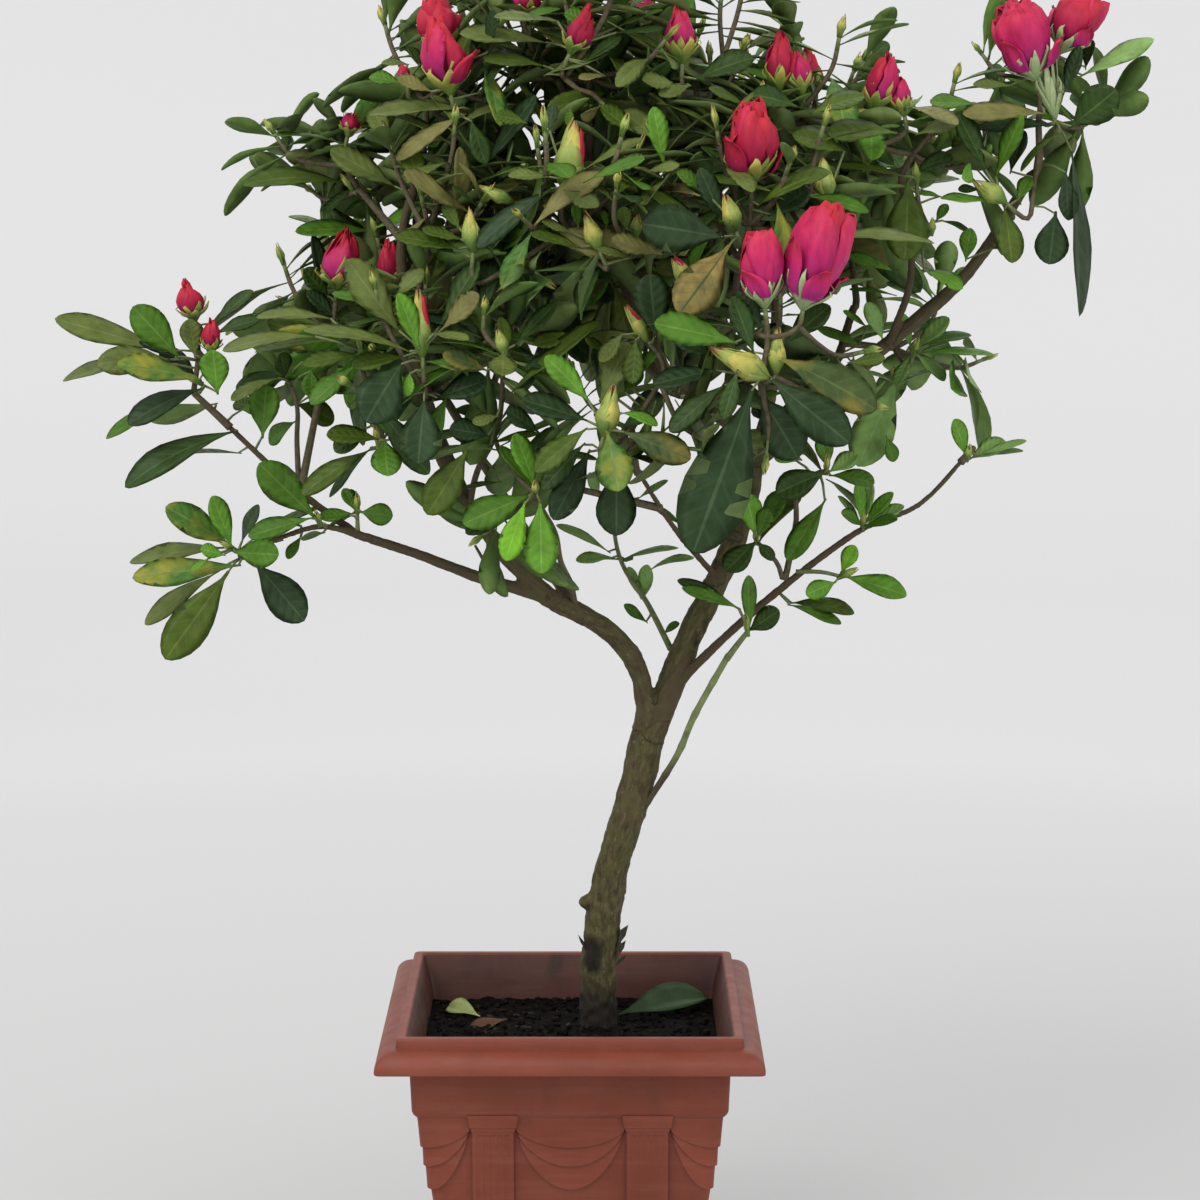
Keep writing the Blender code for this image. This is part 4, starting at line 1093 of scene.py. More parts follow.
# Twigs that are known one by one: their points, their radius at each end and if they are green
TWIGS = (
    (((-119, -28, 385), (-120, -24, 406), (-120, -20, 420), (-124, -15, 433)), 1.4, 0.9, 0),
    (((-93, -34, 366), (-93, -35, 372), (-93, -35, 377)), 1.2, 0.8, 1),
    (((-106, -40, 370), (-107, -41, 371), (-109, -42, 372)), 1.1, 0.8, 1),
    (
        ((2, -18, 332), (0, -30, 344), (-4, -48, 356), (-6, -68, 371), (-12, -86, 385), (-14, -90, 390)),
        1.5,
        0.9,
        0,
    ),
    (((-35, -26, 346), (-38, -27, 353), (-42, -26, 360)), 1, 0.6, 0),
    (
        (
            (45, 2, 309), (38, 12, 322), (33, 20, 330), (25, 26, 341),
            (21, 30, 351), (19, 32, 364), (18, 34, 374),
        ),
        1.5,
        0.8,
        1,
    ),
    (
        (
            (95, -17, 343), (97, -16, 352), (100, -16, 370),
            (100, -16, 382), (107, -16, 390), (113, -17, 392),
        ),
        1.6,
        1,
        0,
    ),
    (((94, -17, 344), (91, -20, 352), (82, -27, 362)), 1.2, 0.9, 0),
    (((100, -17, 347), (111, -18, 347), (120, -18, 345)), 1.1, 0.8, 1),
    (((130, -10, 364), (130, -9, 366)), 1, 0.8, 1),
    (((69, -26, 309), (74, -27, 316), (78, -31, 322)), 1.6, 1.1, 1),
    (((153, 0, 491), (155, -10, 493), (158, -16, 497)), 1.3, 0.9, 0),
    (((-44, -36, 378), (-40, -50, 395), (-30, -70, 418), (-27, -92, 450)), 1.5, 1, 0),
    (((70, -70, 438), (74, -95, 438), (79, -120, 441)), 1.7, 1.3, 0),
)
BACK_LEADS = (
    ("back_middle", (60, 140, 490), "blossom", (0.1, 0.3, 1), 34, 11, 7),
    ("back_middle", (84, 132, 478), "half", (0.3, 0.2, 1), 22, 7, 6),
    ("back_left", (-96, 96, 468), "half", (-0.2, 0.3, 1), 22, 7, 7),
    ("back_middle_left", (-24, 128, 496), "blossom", (0, 0.3, 1), 32, 10, 7),
    ("back_right", (134, 116, 514), "blossom", (0.2, 0.2, 1), 32, 10, 7),
    ("back_right", (150, 122, 500), "bud", (0.3, 0.2, 1), 18, 5, 6),
    ("back_upper_left", (-50, 84, 552), "half", (-0.1, 0.2, 1), 22, 7, 7),
    ("back_upper", (30, 76, 576), "blossom", (0, 0.1, 1), 32, 10.5, 7),
    ("back_upper_right", (108, 70, 556), "half", (0.1, 0.2, 1), 24, 7.5, 7),
)
HUB_SHARE = 0.4
FORKS = (0.6, 0.8, 1.0)
NECK_LENGTH = 15.0
OUTWARD, UPWARD, ONWARD = 0.02, 1.5, 0.8
SHOOT_REACH = (0.3, 0.72)
SHOOT_TRIES = 60
LEAVES_PER_SHOOT = 12
SEED = 41
EDGE_CLEAR = 0.6
STEM_STEP = 4.0
TWIG_STEP = 3.5
SAME_PLACE = 5.0
# Radius at the start, radius at the end and sides of each kind of stalk
STEM_SIZE = (1.9, 1.4, 7)
BROWN_SIZE = (1.3, 1.05, 6)
GREEN_SIZE = (1.05, 0.85, 6)
low_corner = Vector(cad_box[0]) / MM
high_corner = Vector(cad_box[1]) / MM


class Mass:
    """One mass of foliage: its space, and the stem that carries it."""

    def __init__(self, name, limb, share, centre, radii, shoots):
        self.name = name
        self.limb = limb
        self.start = limb.length * share
        self.at_tip = share == 1.0
        self.centre = Vector(centre)
        self.reach = Vector(radii)
        self.shoots = shoots
        self.leads = [(Vector(row[1]), *row[2:]) for row in LEADS + BACK_LEADS if row[0] == name]

    def size_toward(self, way):
        """How far the space reaches that way."""
        return Vector(a * b for a, b in zip(way, self.reach)).length

    def share_space(self, others):
        """The planes that part this mass from its neighbours."""
        self.planes = []
        for other in others:
            if other is not self:
                way = other.centre - self.centre
                distance = way.length
                way.normalize()
                share = self.size_toward(way) / (self.size_toward(way) + other.size_toward(way))
                self.planes.append((way, distance * share))

    def holds(self, point, margin=0.0):
        """If a point is in this mass's space and this far inside its planes."""
        offset = point - self.centre
        if sum((a / b) ** 2 for a, b in zip(offset, self.reach)) > 1.0:
            return False
        return all(offset.dot(way) <= most - margin for way, most in self.planes)

    def grow_stem(self):
        """A stem from the limb to the hub; from a limb's end it first goes straight on."""
        start = self.limb.at(self.start)
        hub = self.centre.lerp(start, HUB_SHARE)
        line = [start, start.lerp(hub, 0.3), start.lerp(hub, 0.7), hub]
        if self.at_tip:
            ahead = self.limb.heading(self.start)
            line = [start - ahead * 3.0, start, start + ahead * 5.0, hub]
        self.stem = Limb(self.name, line, min(1.8, self.limb.radius(self.start) * 0.95), 1.5)


masses = [Mass(name, limbs[spec[0]], *spec[1:]) for name, spec in MASSES.items()]
for mass in masses:
    mass.share_space(masses)
    mass.grow_stem()


def more_tips(mass, chance):
    """Tips beside the known ones, spread as far apart as the space allows."""
    tips = [lead[0] for lead in mass.leads]
    hub = mass.stem.line[-1]
    found = []
    for _ in range(mass.shoots):
        best = None
        for _ in range(SHOOT_TRIES):
            way = Vector(chance.gauss(0, 1) for _ in range(3)).normalized()
            away = chance.uniform(*SHOOT_REACH)
            tip = mass.centre + Vector(a * b * away for a, b in zip(way, mass.reach))
            if not mass.holds(tip, 3.0):
                continue
            apart = min([(tip - other).length for other in tips + found] + [(tip - hub).length])
            if best is None or apart > best[0]:
                best = (apart, tip)
        if best:
            found.append(best[1])
    return found


twigs = Heap()
twig_places = []


def add_twig(line, start_radius, end_radius, sides, green):
    """A twig as one tapering stalk, brown (0) or green (1)."""
    count = len(line) - 1
    radii = [start_radius + (end_radius - start_radius) * k / count for k in range(count + 1)]
    twigs.add(*tube(line, radii, sides), green)
    twig_places.extend(line)


def add_shoot_twig(line):
    """The twig of one shoot: brown, and green in its last stretch."""
    young_from = max(1, len(line) - 3)
    add_twig(line[: young_from + 1], *BROWN_SIZE, 0)
    add_twig(line[young_from:], *GREEN_SIZE, 1)


for points, start_radius, end_radius, green in TWIGS:
    add_twig(smooth_line(points, TWIG_STEP), start_radius, end_radius, 7, green)
drawn_ends = [Vector(points[-1]) for points, *_ in TWIGS]
for limb in limbs.values():
    twig_places.extend(limb.line)


def is_drawn(tip):
    """If a twig that is known one by one ends at this tip."""
    return min((end - tip).length for end in drawn_ends) <= SAME_PLACE


# The twig of a known shoot is laid here; the twig of a grown one waits until its leaves stand
shoots = []
for number, mass in enumerate(masses):
    chance = random.Random(SEED + number)
    heads = list(mass.leads)
    for tip in more_tips(mass, chance):
        heads.append((tip, "leafy", None, 0.0, 0.0, LEAVES_PER_SHOOT))
    forks = [mass.stem.at(mass.stem.length * share) for share in FORKS]
    forks += [end for end in drawn_ends if mass.holds(end)]
    if not all(is_drawn(head[0]) for head in heads):
        stem_line = smooth_line(mass.stem.line, STEM_STEP)
        add_twig(stem_line, *STEM_SIZE, int(mass.limb.name == "green_shoot"))
    for tip, kind, lean, length, radius, leaves in heads:
        start = min(forks, key=lambda point: (point - tip).length)
        onward = (tip - start).normalized()
        upward = UPWARD * max(0.0, 0.45 + 0.6 * onward.z)
        way = (tip - mass.centre) * OUTWARD + Vector((0, 0, upward)) + onward * ONWARD
        way = Vector(lean).normalized() if lean else way.normalized()
        waiting = None
        if not is_drawn(tip):
            neck = tip - way * min(NECK_LENGTH, (tip - start).length * 0.45)
            sag = Vector((0, 0, 1.5))
            line = smooth_line([start, start.lerp(neck, 0.5) - sag, neck, tip], TWIG_STEP)
            if lean:
                add_shoot_twig(line)
                forks.append(line[len(line) // 2])
            else:
                waiting = line
        shoots.append((mass, tip, way, kind, length, radius, leaves, waiting, chance))


def twig_finish(name, rough, scale, detail, dark, light, depth):
    """Smooth thin bark in two shades, with a fine grain this deep."""
    bark = Finish(name, rough)
    grain = bark.grain(scale, detail)
    bark.colour(bark.ramp(grain, ((0.3, dark), (0.7, light))))
    bark.relief(grain, depth)
    return bark.material


twig_finishes = [
    twig_finish("twig_bark", 0.8, 420.0, 5.0, (0.050, 0.038, 0.018), (0.118, 0.096, 0.046), 0.3),
    twig_finish("green_twig", 0.65, 380.0, 4.0, (0.085, 0.105, 0.030), (0.165, 0.205, 0.070), 0.2),
]

# Leaves: leathery evergreen azalea leaves in whorls at the shoots' ends. Each is a thin arched
# blade with a folded midrib, deep green to yellow-green above and paler and greyer below.
LEAF_THICK = 0.4
GOLDEN_ANGLE = math.radians(137.5)
# Each row of a blade: how far along it and how wide. In a row stand the columns across the upper
# face and then one point under the midrib.
LEAF_ROWS = (
    (0.0, 0.07), (0.10, 0.11), (0.22, 0.34), (0.35, 0.65), (0.48, 0.88),
    (0.60, 1.0), (0.72, 0.99), (0.83, 0.84), (0.92, 0.58), (0.975, 0.30),
)
LEAF_COLUMNS = (-1.0, -0.52, -0.055, 0.055, 0.52, 1.0)
RIGHT_EDGE = len(LEAF_COLUMNS) - 1
UNDERSIDE = len(LEAF_COLUMNS)
ROW_POINTS = len(LEAF_COLUMNS) + 1
UPPER, RIB, UNDER = 0, 1, 2
PROXY_ROWS = (4, 6, 9)
# For each tone: the blade's colour, its midrib's, and a second colour that lies on it in patches
TONES = {
    "deep": ((0.016, 0.038, 0.010), (0.040, 0.070, 0.028), None),
    "dark": ((0.021, 0.050, 0.006), (0.054, 0.092, 0.020), None),
    "olive": ((0.050, 0.086, 0.006), (0.084, 0.122, 0.022), None),
    # The grey and tan tones are partly the leaves' own greyish olive and partly a painted sheen of leaves
    # that face up to the sky.
    "grey": ((0.096, 0.130, 0.026), (0.128, 0.158, 0.050), None),
    "tan": ((0.150, 0.146, 0.042), (0.165, 0.158, 0.060), None),
    "mid": ((0.054, 0.140, 0.009), (0.098, 0.180, 0.030), None),
    "fresh": ((0.095, 0.240, 0.018), (0.150, 0.300, 0.050), None),
    "bright": ((0.145, 0.370, 0.018), (0.200, 0.420, 0.050), None),
    "light": ((0.180, 0.320, 0.080), (0.220, 0.350, 0.120), None),
    "patch": ((0.052, 0.135, 0.018), (0.120, 0.190, 0.050), (0.250, 0.240, 0.028)),
    "patch_dark": ((0.042, 0.070, 0.018), (0.075, 0.110, 0.030), (0.170, 0.145, 0.026)),
    "veined": ((0.240, 0.185, 0.050), (0.060, 0.080, 0.028), (0.075, 0.080, 0.028)),
}
TONE_NAMES = list(TONES)


def leaf_blade(root, along, up, length, width, droop, fold, twist, bend, chance):
    """One closed blade in millimetres: points, faces, kinds of face and spots on the blade."""
    across = along.cross(up).normalized()
    up = across.cross(along).normalized()
    points = []
    spots = []
    phase = chance.uniform(0, math.tau)
    place = root.copy()
    before = 0.0
    wave = chance.uniform(0.4, 1.0) * width * 0.035
    for t, wide in LEAF_ROWS:
        fall = droop * (0.15 + 0.85 * t)
        ahead = along * math.cos(fall) - up * math.sin(fall)
        place = place + ahead * (t - before) * length
        before = t
        normal = up * math.cos(fall) + along * math.sin(fall)
        roll = twist * t
        side = across * math.cos(roll) + normal * math.sin(roll)
        normal = normal * math.cos(roll) - across * math.sin(roll)
        middle = place + across * (bend * t * t * length)
        half = width * 0.5 * wide
        for column in LEAF_COLUMNS:
            lift = abs(column) ** 0.88 * half * fold
            lift += math.sin(t * 11.0 + phase + (2.0 if column > 0 else 0.0)) * wave * column ** 4 * wide
            rib = 0.22 if abs(column) < 0.1 else 0.0
            points.append(middle + side * (half * column) + normal * (lift - rib * wide))
            spots.append((0.5 + 0.5 * column * wide, t))
        points.append(middle - normal * (LEAF_THICK + 0.5 * wide * (1 - t)))
        spots.append((0.5, t))
    ahead = along * math.cos(droop) - up * math.sin(droop)
    points.append(place + across * (bend * length) + ahead * 0.025 * length)
    spots.append((0.5, 1.0))
    tip = len(points) - 1
    faces = []
    for a in range(0, tip - ROW_POINTS, ROW_POINTS):
        b = a + ROW_POINTS
        for c in range(RIGHT_EDGE):
            faces.append((a + c, a + c + 1, b + c + 1, b + c))
        faces.append((a + RIGHT_EDGE, a + UNDERSIDE, b + UNDERSIDE, b + RIGHT_EDGE))
        faces.append((a + UNDERSIDE, a, b, b + UNDERSIDE))
    last = tip - ROW_POINTS
    for c in range(RIGHT_EDGE):
        faces.append((last + c, last + c + 1, tip))
    faces += [(last + RIGHT_EDGE, last + UNDERSIDE, tip), (last + UNDERSIDE, last, tip)]
    faces.append((*range(RIGHT_EDGE, -1, -1), UNDERSIDE))
    kinds = [UPPER, UPPER, RIB, UPPER, UPPER, UNDER, UNDER] * len(LEAF_ROWS) + [UNDER]
    return points, faces, kinds, spots


def blade_proxy(points):
    """The outer half of a blade as four plain faces, to keep leaves out of each other."""
    picked = [points[row * ROW_POINTS + c] for row in PROXY_ROWS for c in (0, UNDERSIDE, RIGHT_EDGE)]
    return picked, [(a, a + 1, a + 4, a + 3) for a in (0, 1, 3, 4)]


class Crowd:
    """What already stands in the crown, sorted in cells, to test new leaves against."""

    CELL = 30.0

    def __init__(self):
        self.cells = {}
        self.bodies = []

    def keys(self, points):
        """The cells that these points' box touches."""
        low = [math.floor(min(p[i] for p in points) / self.CELL) for i in range(3)]
        high = [math.floor(max(p[i] for p in points) / self.CELL) for i in range(3)]
        return [
            (a, b, c)
            for a in range(low[0], high[0] + 1)
            for b in range(low[1], high[1] + 1)
            for c in range(low[2], high[2] + 1)
        ]

    def add(self, body):
        self.bodies.append(body)
        for key in self.keys(body[0]):
            self.cells.setdefault(key, []).append(len(self.bodies) - 1)

    def meets(self, body):
        """If a body cuts through one that stands already."""
        near = {number for key in self.keys(body[0]) for number in self.cells.get(key, ())}
        if not near:
            return False
        heap = Heap()
        for number in sorted(near):
            heap.add(*self.bodies[number])
        own = BVHTree.FromPolygons(*body)
        return bool(BVHTree.FromPolygons(heap.points, heap.faces).overlap(own))


crowd = Crowd()
for limb in limbs.values():
    for k in range(0, len(limb.line) - 1, 3):
        line = limb.line[k: k + 4]
        crowd.add(tube(line, [limb.radius(where) for where in limb.lengths[k: k + 4]], 6))


def inside_box(points):
    """If all points are inside the solids' box."""
    return all(
        low + EDGE_CLEAR < c < high - EDGE_CLEAR
        for point in points
        for c, low, high in zip(point, low_corner, high_corner)
    )


# Blossom and buds: half open double blossoms of crimson-rose, each a bundle of crinkled petals
# in a cup of yellow-green scales, and closed buds of overlapping scales with brown tips.
PETAL_COLUMNS = (-1.0, -0.78, -0.52, -0.26, 0.0, 0.26, 0.52, 0.78, 1.0)
SCALE_COLUMNS = (-1.0, -0.5, 0.0, 0.5, 1.0)
SMALL_COLUMNS = (-1.0, 0.0, 1.0)


def wrapped_blade(
    foot, way, turn, rings, widths, thick, crimp, sweep, chance, lean=None, columns=PETAL_COLUMNS
):
    """A petal or scale that wraps round an axis: rings of (rise, radius), a width at each."""
    side = way.orthogonal().normalized()
    over = way.cross(side)
    phase = chance.uniform(0, math.tau)
    second = chance.uniform(0, math.tau)
    tall = rings[-1][0]
    points = []
    spots = []
    across = len(columns)
    for layer in (0.0, thick):
        for i, ((rise, radius), width) in enumerate(zip(rings, widths)):
            share = i / (len(rings) - 1)
            for column in columns:
                angle = turn + sweep * share + column * width / max(radius, 2.0)
                ripple = math.sin(column * 4.6 + phase + share * 2.4)
                ripple += 0.6 * math.sin(column * 9.0 + second - share * 4)
                out = max(0.15, radius - layer + crimp * (0.25 + 0.75 * share) * ripple)
                ragged = math.cos(column * 7.3 + phase) + 0.7 * math.sin(column * 12.0 + second)
                ragged -= 1.4 * column * column
                up = rise + 0.5 * crimp * share ** 3 * ragged
                place = foot + way * up + (side * math.cos(angle) + over * math.sin(angle)) * out
                if lean:
                    place += lean * (up / tall) ** 2
                points.append(place)
                spots.append((0.5 + 0.5 * column, share))
    rows = len(rings)
    skip = rows * across
    faces = []
    for i in range(rows - 1):
        for c in range(across - 1):
            a = i * across + c
            faces.append((a, a + 1, a + 1 + across, a + across))
            faces.append((skip + a + across, skip + a + 1 + across, skip + a + 1, skip + a))
        left = i * across
        right = left + across - 1
        faces.append((left + across, skip + left + across, skip + left, left))
        faces.append((right, skip + right, skip + right + across, right + across))
    for c in range(across - 1):
        faces.append((c + 1, c, skip + c, skip + c + 1))
        top = (rows - 1) * across + c
        faces.append((top, top + 1, skip + top + 1, skip + top))
    return points, faces, spots


petals = Heap()
scales = Heap()
# Each ring of petals: how many, how far out, how tall, and the half width against the radius
OPEN_RINGS = ((2, 0.42, 1.0, 0.80), (3, 0.70, 0.97, 1.0), (3, 1.0, 0.88, 1.12))
CLOSED_RINGS = ((2, 0.55, 1.0, 0.95), (3, 1.0, 0.93, 1.15))
# How far out a petal stands at each share of its height. Spurs are the short petals that spread.
OPEN_PROFILE = (
    (0.0, 0.20), (0.15, 0.56), (0.34, 0.88), (0.54, 1.0), (0.73, 0.94), (0.88, 0.78), (1.0, 0.60)
)
CLOSED_PROFILE = (
    (0.0, 0.34), (0.15, 0.74), (0.35, 0.96), (0.55, 1.0), (0.74, 0.84), (0.89, 0.60), (1.0, 0.36)
)
SPUR_PROFILE = (
    (0.0, 0.30), (0.2, 0.85), (0.4, 1.05), (0.58, 1.12), (0.75, 1.22), (0.89, 1.36), (1.0, 1.55)
)
PETAL_WIDTHS = (0.22, 0.56, 0.86, 1.04, 1.08, 0.98, 0.66)
POINTED_WIDTHS = (0.32, 0.70, 0.95, 1.0, 0.82, 0.55, 0.24)
SPUR_WIDTHS = (0.2, 0.42, 0.52, 0.52, 0.42, 0.26, 0.06)
PETAL_THICK = 0.35
SPURS = 3
# A scale's height shares, its half widths, and how far out it stands on a bud and on a cup
SCALE_RISES = (0.14, 0.36, 0.60, 0.82, 1.0)
SCALE_WIDTHS = (0.5, 0.95, 1.10, 0.82, 0.42, 0.06)
BUD_OUTS = (0.74, 1.0, 0.88, 0.60)
CUP_OUTS = (0.42, 0.68, 0.88, 1.02)
SCALE_THICK = 0.3
TOP_CLEAR = 1.6
TALLEST = 1.06
PALE_CUPS = ("front_pair", "right_top")


def add_petal(tip, way, turn, high, wide, profile, widths, crimp, lean, tone, chance):
    """One petal, this high and wide, that turns a little aside as it rises."""
    rings = [(1.0 + (high - 1.0) * share, wide * out) for share, out in profile]
    sweep = chance.uniform(-0.8, 0.8)
    points, faces, spots = wrapped_blade(
        tip, way, turn, rings, widths, PETAL_THICK, crimp, sweep, chance, lean
    )
    petals.add(points, faces, tone, spots)


def add_blossom(tip, way, length, radius, opened, tone, chance):
    """A crumpled bundle of wide wrapped petals; an open one has a few short spreading ones."""
    start = chance.uniform(0, math.tau)
    profile = OPEN_PROFILE if opened else CLOSED_PROFILE
    shape = PETAL_WIDTHS if opened else POINTED_WIDTHS
    lean = way.orthogonal().normalized() * chance.uniform(-0.14, 0.14) * length
    crimp = min(1.9, radius * 0.15)
    top = chance.uniform(1.0, 1.3) if tone == 0 else chance.uniform(0.62, 0.98)
    profile = [(share, out * (1.0 + (top - 1.0) * share * share)) for share, out in profile]
    for count, spread, tall, half in OPEN_RINGS if opened else CLOSED_RINGS:
        for k in range(count):
            turn = start + math.tau * (k + chance.uniform(-0.22, 0.22)) / count + spread * 2.0
            high = length * tall * chance.uniform(0.74, 1.0)
            wide = radius * spread * chance.uniform(0.88, 1.04)
            widths = [radius * half * share * chance.uniform(0.9, 1.1) for share in shape]
            own = tone if chance.random() < 0.7 else 1 - tone
            add_petal(tip, way, turn, high, wide, profile, widths, crimp, lean, own, chance)
    for k in range(SPURS if opened else 0):
        turn = start + math.tau * (k + chance.uniform(-0.3, 0.3)) / SPURS + 0.8
        widths = [radius * share for share in SPUR_WIDTHS]
        high = length * chance.uniform(0.28, 0.62)
        wide = radius * 0.92
        add_petal(tip, way, turn, high, wide, SPUR_PROFILE, widths, crimp * 0.6, None, tone, chance)


def add_scales(tip, way, length, radius, layers, pale, chance, slim=1.0):
    """Overlapping pointed scales round a bud; slimmer ones flare out in a blossom's cup."""
    start = chance.uniform(0, math.tau)
    columns = SCALE_COLUMNS if radius > 2.5 else SMALL_COLUMNS
    for layer in range(layers):
        count = round((3 if layer % 2 else 4) / slim ** 0.5)
        high = length * (0.66 + 0.34 * (layer + 1) / layers)
        wide = radius * (1.0 - 0.14 * layer)
        for k in range(count):
            turn = start + math.tau * (k + 0.5 * (layer % 2) + chance.uniform(-0.1, 0.1)) / count
            tall = high * (chance.uniform(0.84, 1.04) if slim == 1.0 else chance.uniform(0.55, 1.15))
            tip_out = chance.uniform(0.14, 0.42)
            outs = (*BUD_OUTS, tip_out) if slim == 1.0 else (*CUP_OUTS, 0.7 + tip_out)
            rings = [(-2.0, 1.1)]
            for share, outward in zip(SCALE_RISES, outs):
                rings.append((tall * share, max(0.35, wide * outward)))
            widths = [wide * slim * share for share in SCALE_WIDTHS]
            points, faces, spots = wrapped_blade(
                tip, way, turn, rings, widths, SCALE_THICK, 0.15, 0.1, chance, columns=columns
            )
            scales.add(points, faces, 2 if pale else chance.choice((0, 0, 1)), spots)


head_chance = random.Random(SEED * 3)
for mass, tip, way, kind, length, radius, *_ in shoots:
    if kind == "leafy":
        continue
    pale = mass.name in PALE_CUPS and kind != "bud_red"
    lying = math.sqrt(max(0.0, 1.0 - way.z * way.z))
    room = high_corner.z - TOP_CLEAR - tip.z - radius * lying
    length = min(length, room / max(0.2, way.z) / TALLEST)
    if kind == "calyx":
        add_scales(tip, way, length, radius, 3, pale, head_chance, slim=0.3)
    elif kind in ("bud", "bud_red"):
        add_scales(tip, way, length, radius * 0.9, 3, False, head_chance)
        if kind == "bud_red":
            side = way.cross(Vector((0.3, 1.0, 0.2))).normalized()
            add_blossom(tip - side * radius * 0.3, way, length * 0.96, radius * 0.55, False, 1, head_chance)
    else:
        add_blossom(tip, way, length, radius, kind == "blossom", 0 if pale else 1, head_chance)
        cup = 0.36 if pale else 0.46
        broad = radius * (0.96 if kind == "blossom" else 1.15)
        add_scales(tip, way, length * cup, broad, 2, pale, head_chance, slim=0.18 if pale else 0.32)
    line = [tip - way * 2.0, tip + way * length * 0.5, tip + way * length]
    crowd.add(tube(line, [radius * 0.4, radius * 0.9, radius * 0.6], 6))


def petal_finish(name, foot, low, high):
    """Thin crinkled petal: magenta toward its pale foot, redder above, with fine darker veins."""
    petal = Finish(name, 0.55, Specular_IOR_Level=0.2)
    veins = petal.grain(330.0, 4.0, stretch=(1.0, 1.0, 0.35))
    rise = petal.mix(0.16, petal.on_blade()["Y"], veins)
    along = petal.ramp(rise, ((0.10, (0.52, 0.60, 0.42)), (0.17, foot), (0.52, low), (0.86, high)))
    shade = petal.ramp(veins, ((0.3, (0.74, 0.66, 0.70)), (0.7, (1.0, 1.0, 1.0))))
    petal.colour(petal.mix(1.0, along, shade, "MULTIPLY"))
    petal.relief(veins, 0.5, 0.7)
    return petal.material


def scale_finish(name, foot, middle, tip):
    """Papery bud scale: green at its foot, yellower above, with a dry brown point."""
    scale = Finish(name, 0.6)
    rise = scale.mix(0.24, scale.on_blade()["Y"], scale.grain(170.0, 4.0))
    along = scale.ramp(rise, ((0.30, foot), (0.62, middle), (0.74, middle), (0.86, tip)))
    specks = scale.grain(300.0, 4.0)
    shade = scale.ramp(specks, ((0.3, (0.72, 0.74, 0.68)), (0.7, (1.0, 1.0, 1.0))))
    scale.colour(scale.mix(1.0, along, shade, "MULTIPLY"))
    scale.relief(specks, 0.25)
    return scale.material


azalea_petals = petals.lay(
    "azalea_petals",
    [
        petal_finish("petal_rose", (0.38, 0.022, 0.190), (0.49, 0.018, 0.115), (0.57, 0.030, 0.080)),
        petal_finish("petal_crimson", (0.30, 0.014, 0.080), (0.41, 0.014, 0.050), (0.53, 0.026, 0.046)),
    ],
)
settle(azalea_petals, [])

# The leaves themselves. First the ones that are known one by one, then the others, whorl by
# whorl: a leaf that would run into another, hide a known one or close a gap is turned or left out.
LEAF_SPACING = 1.6
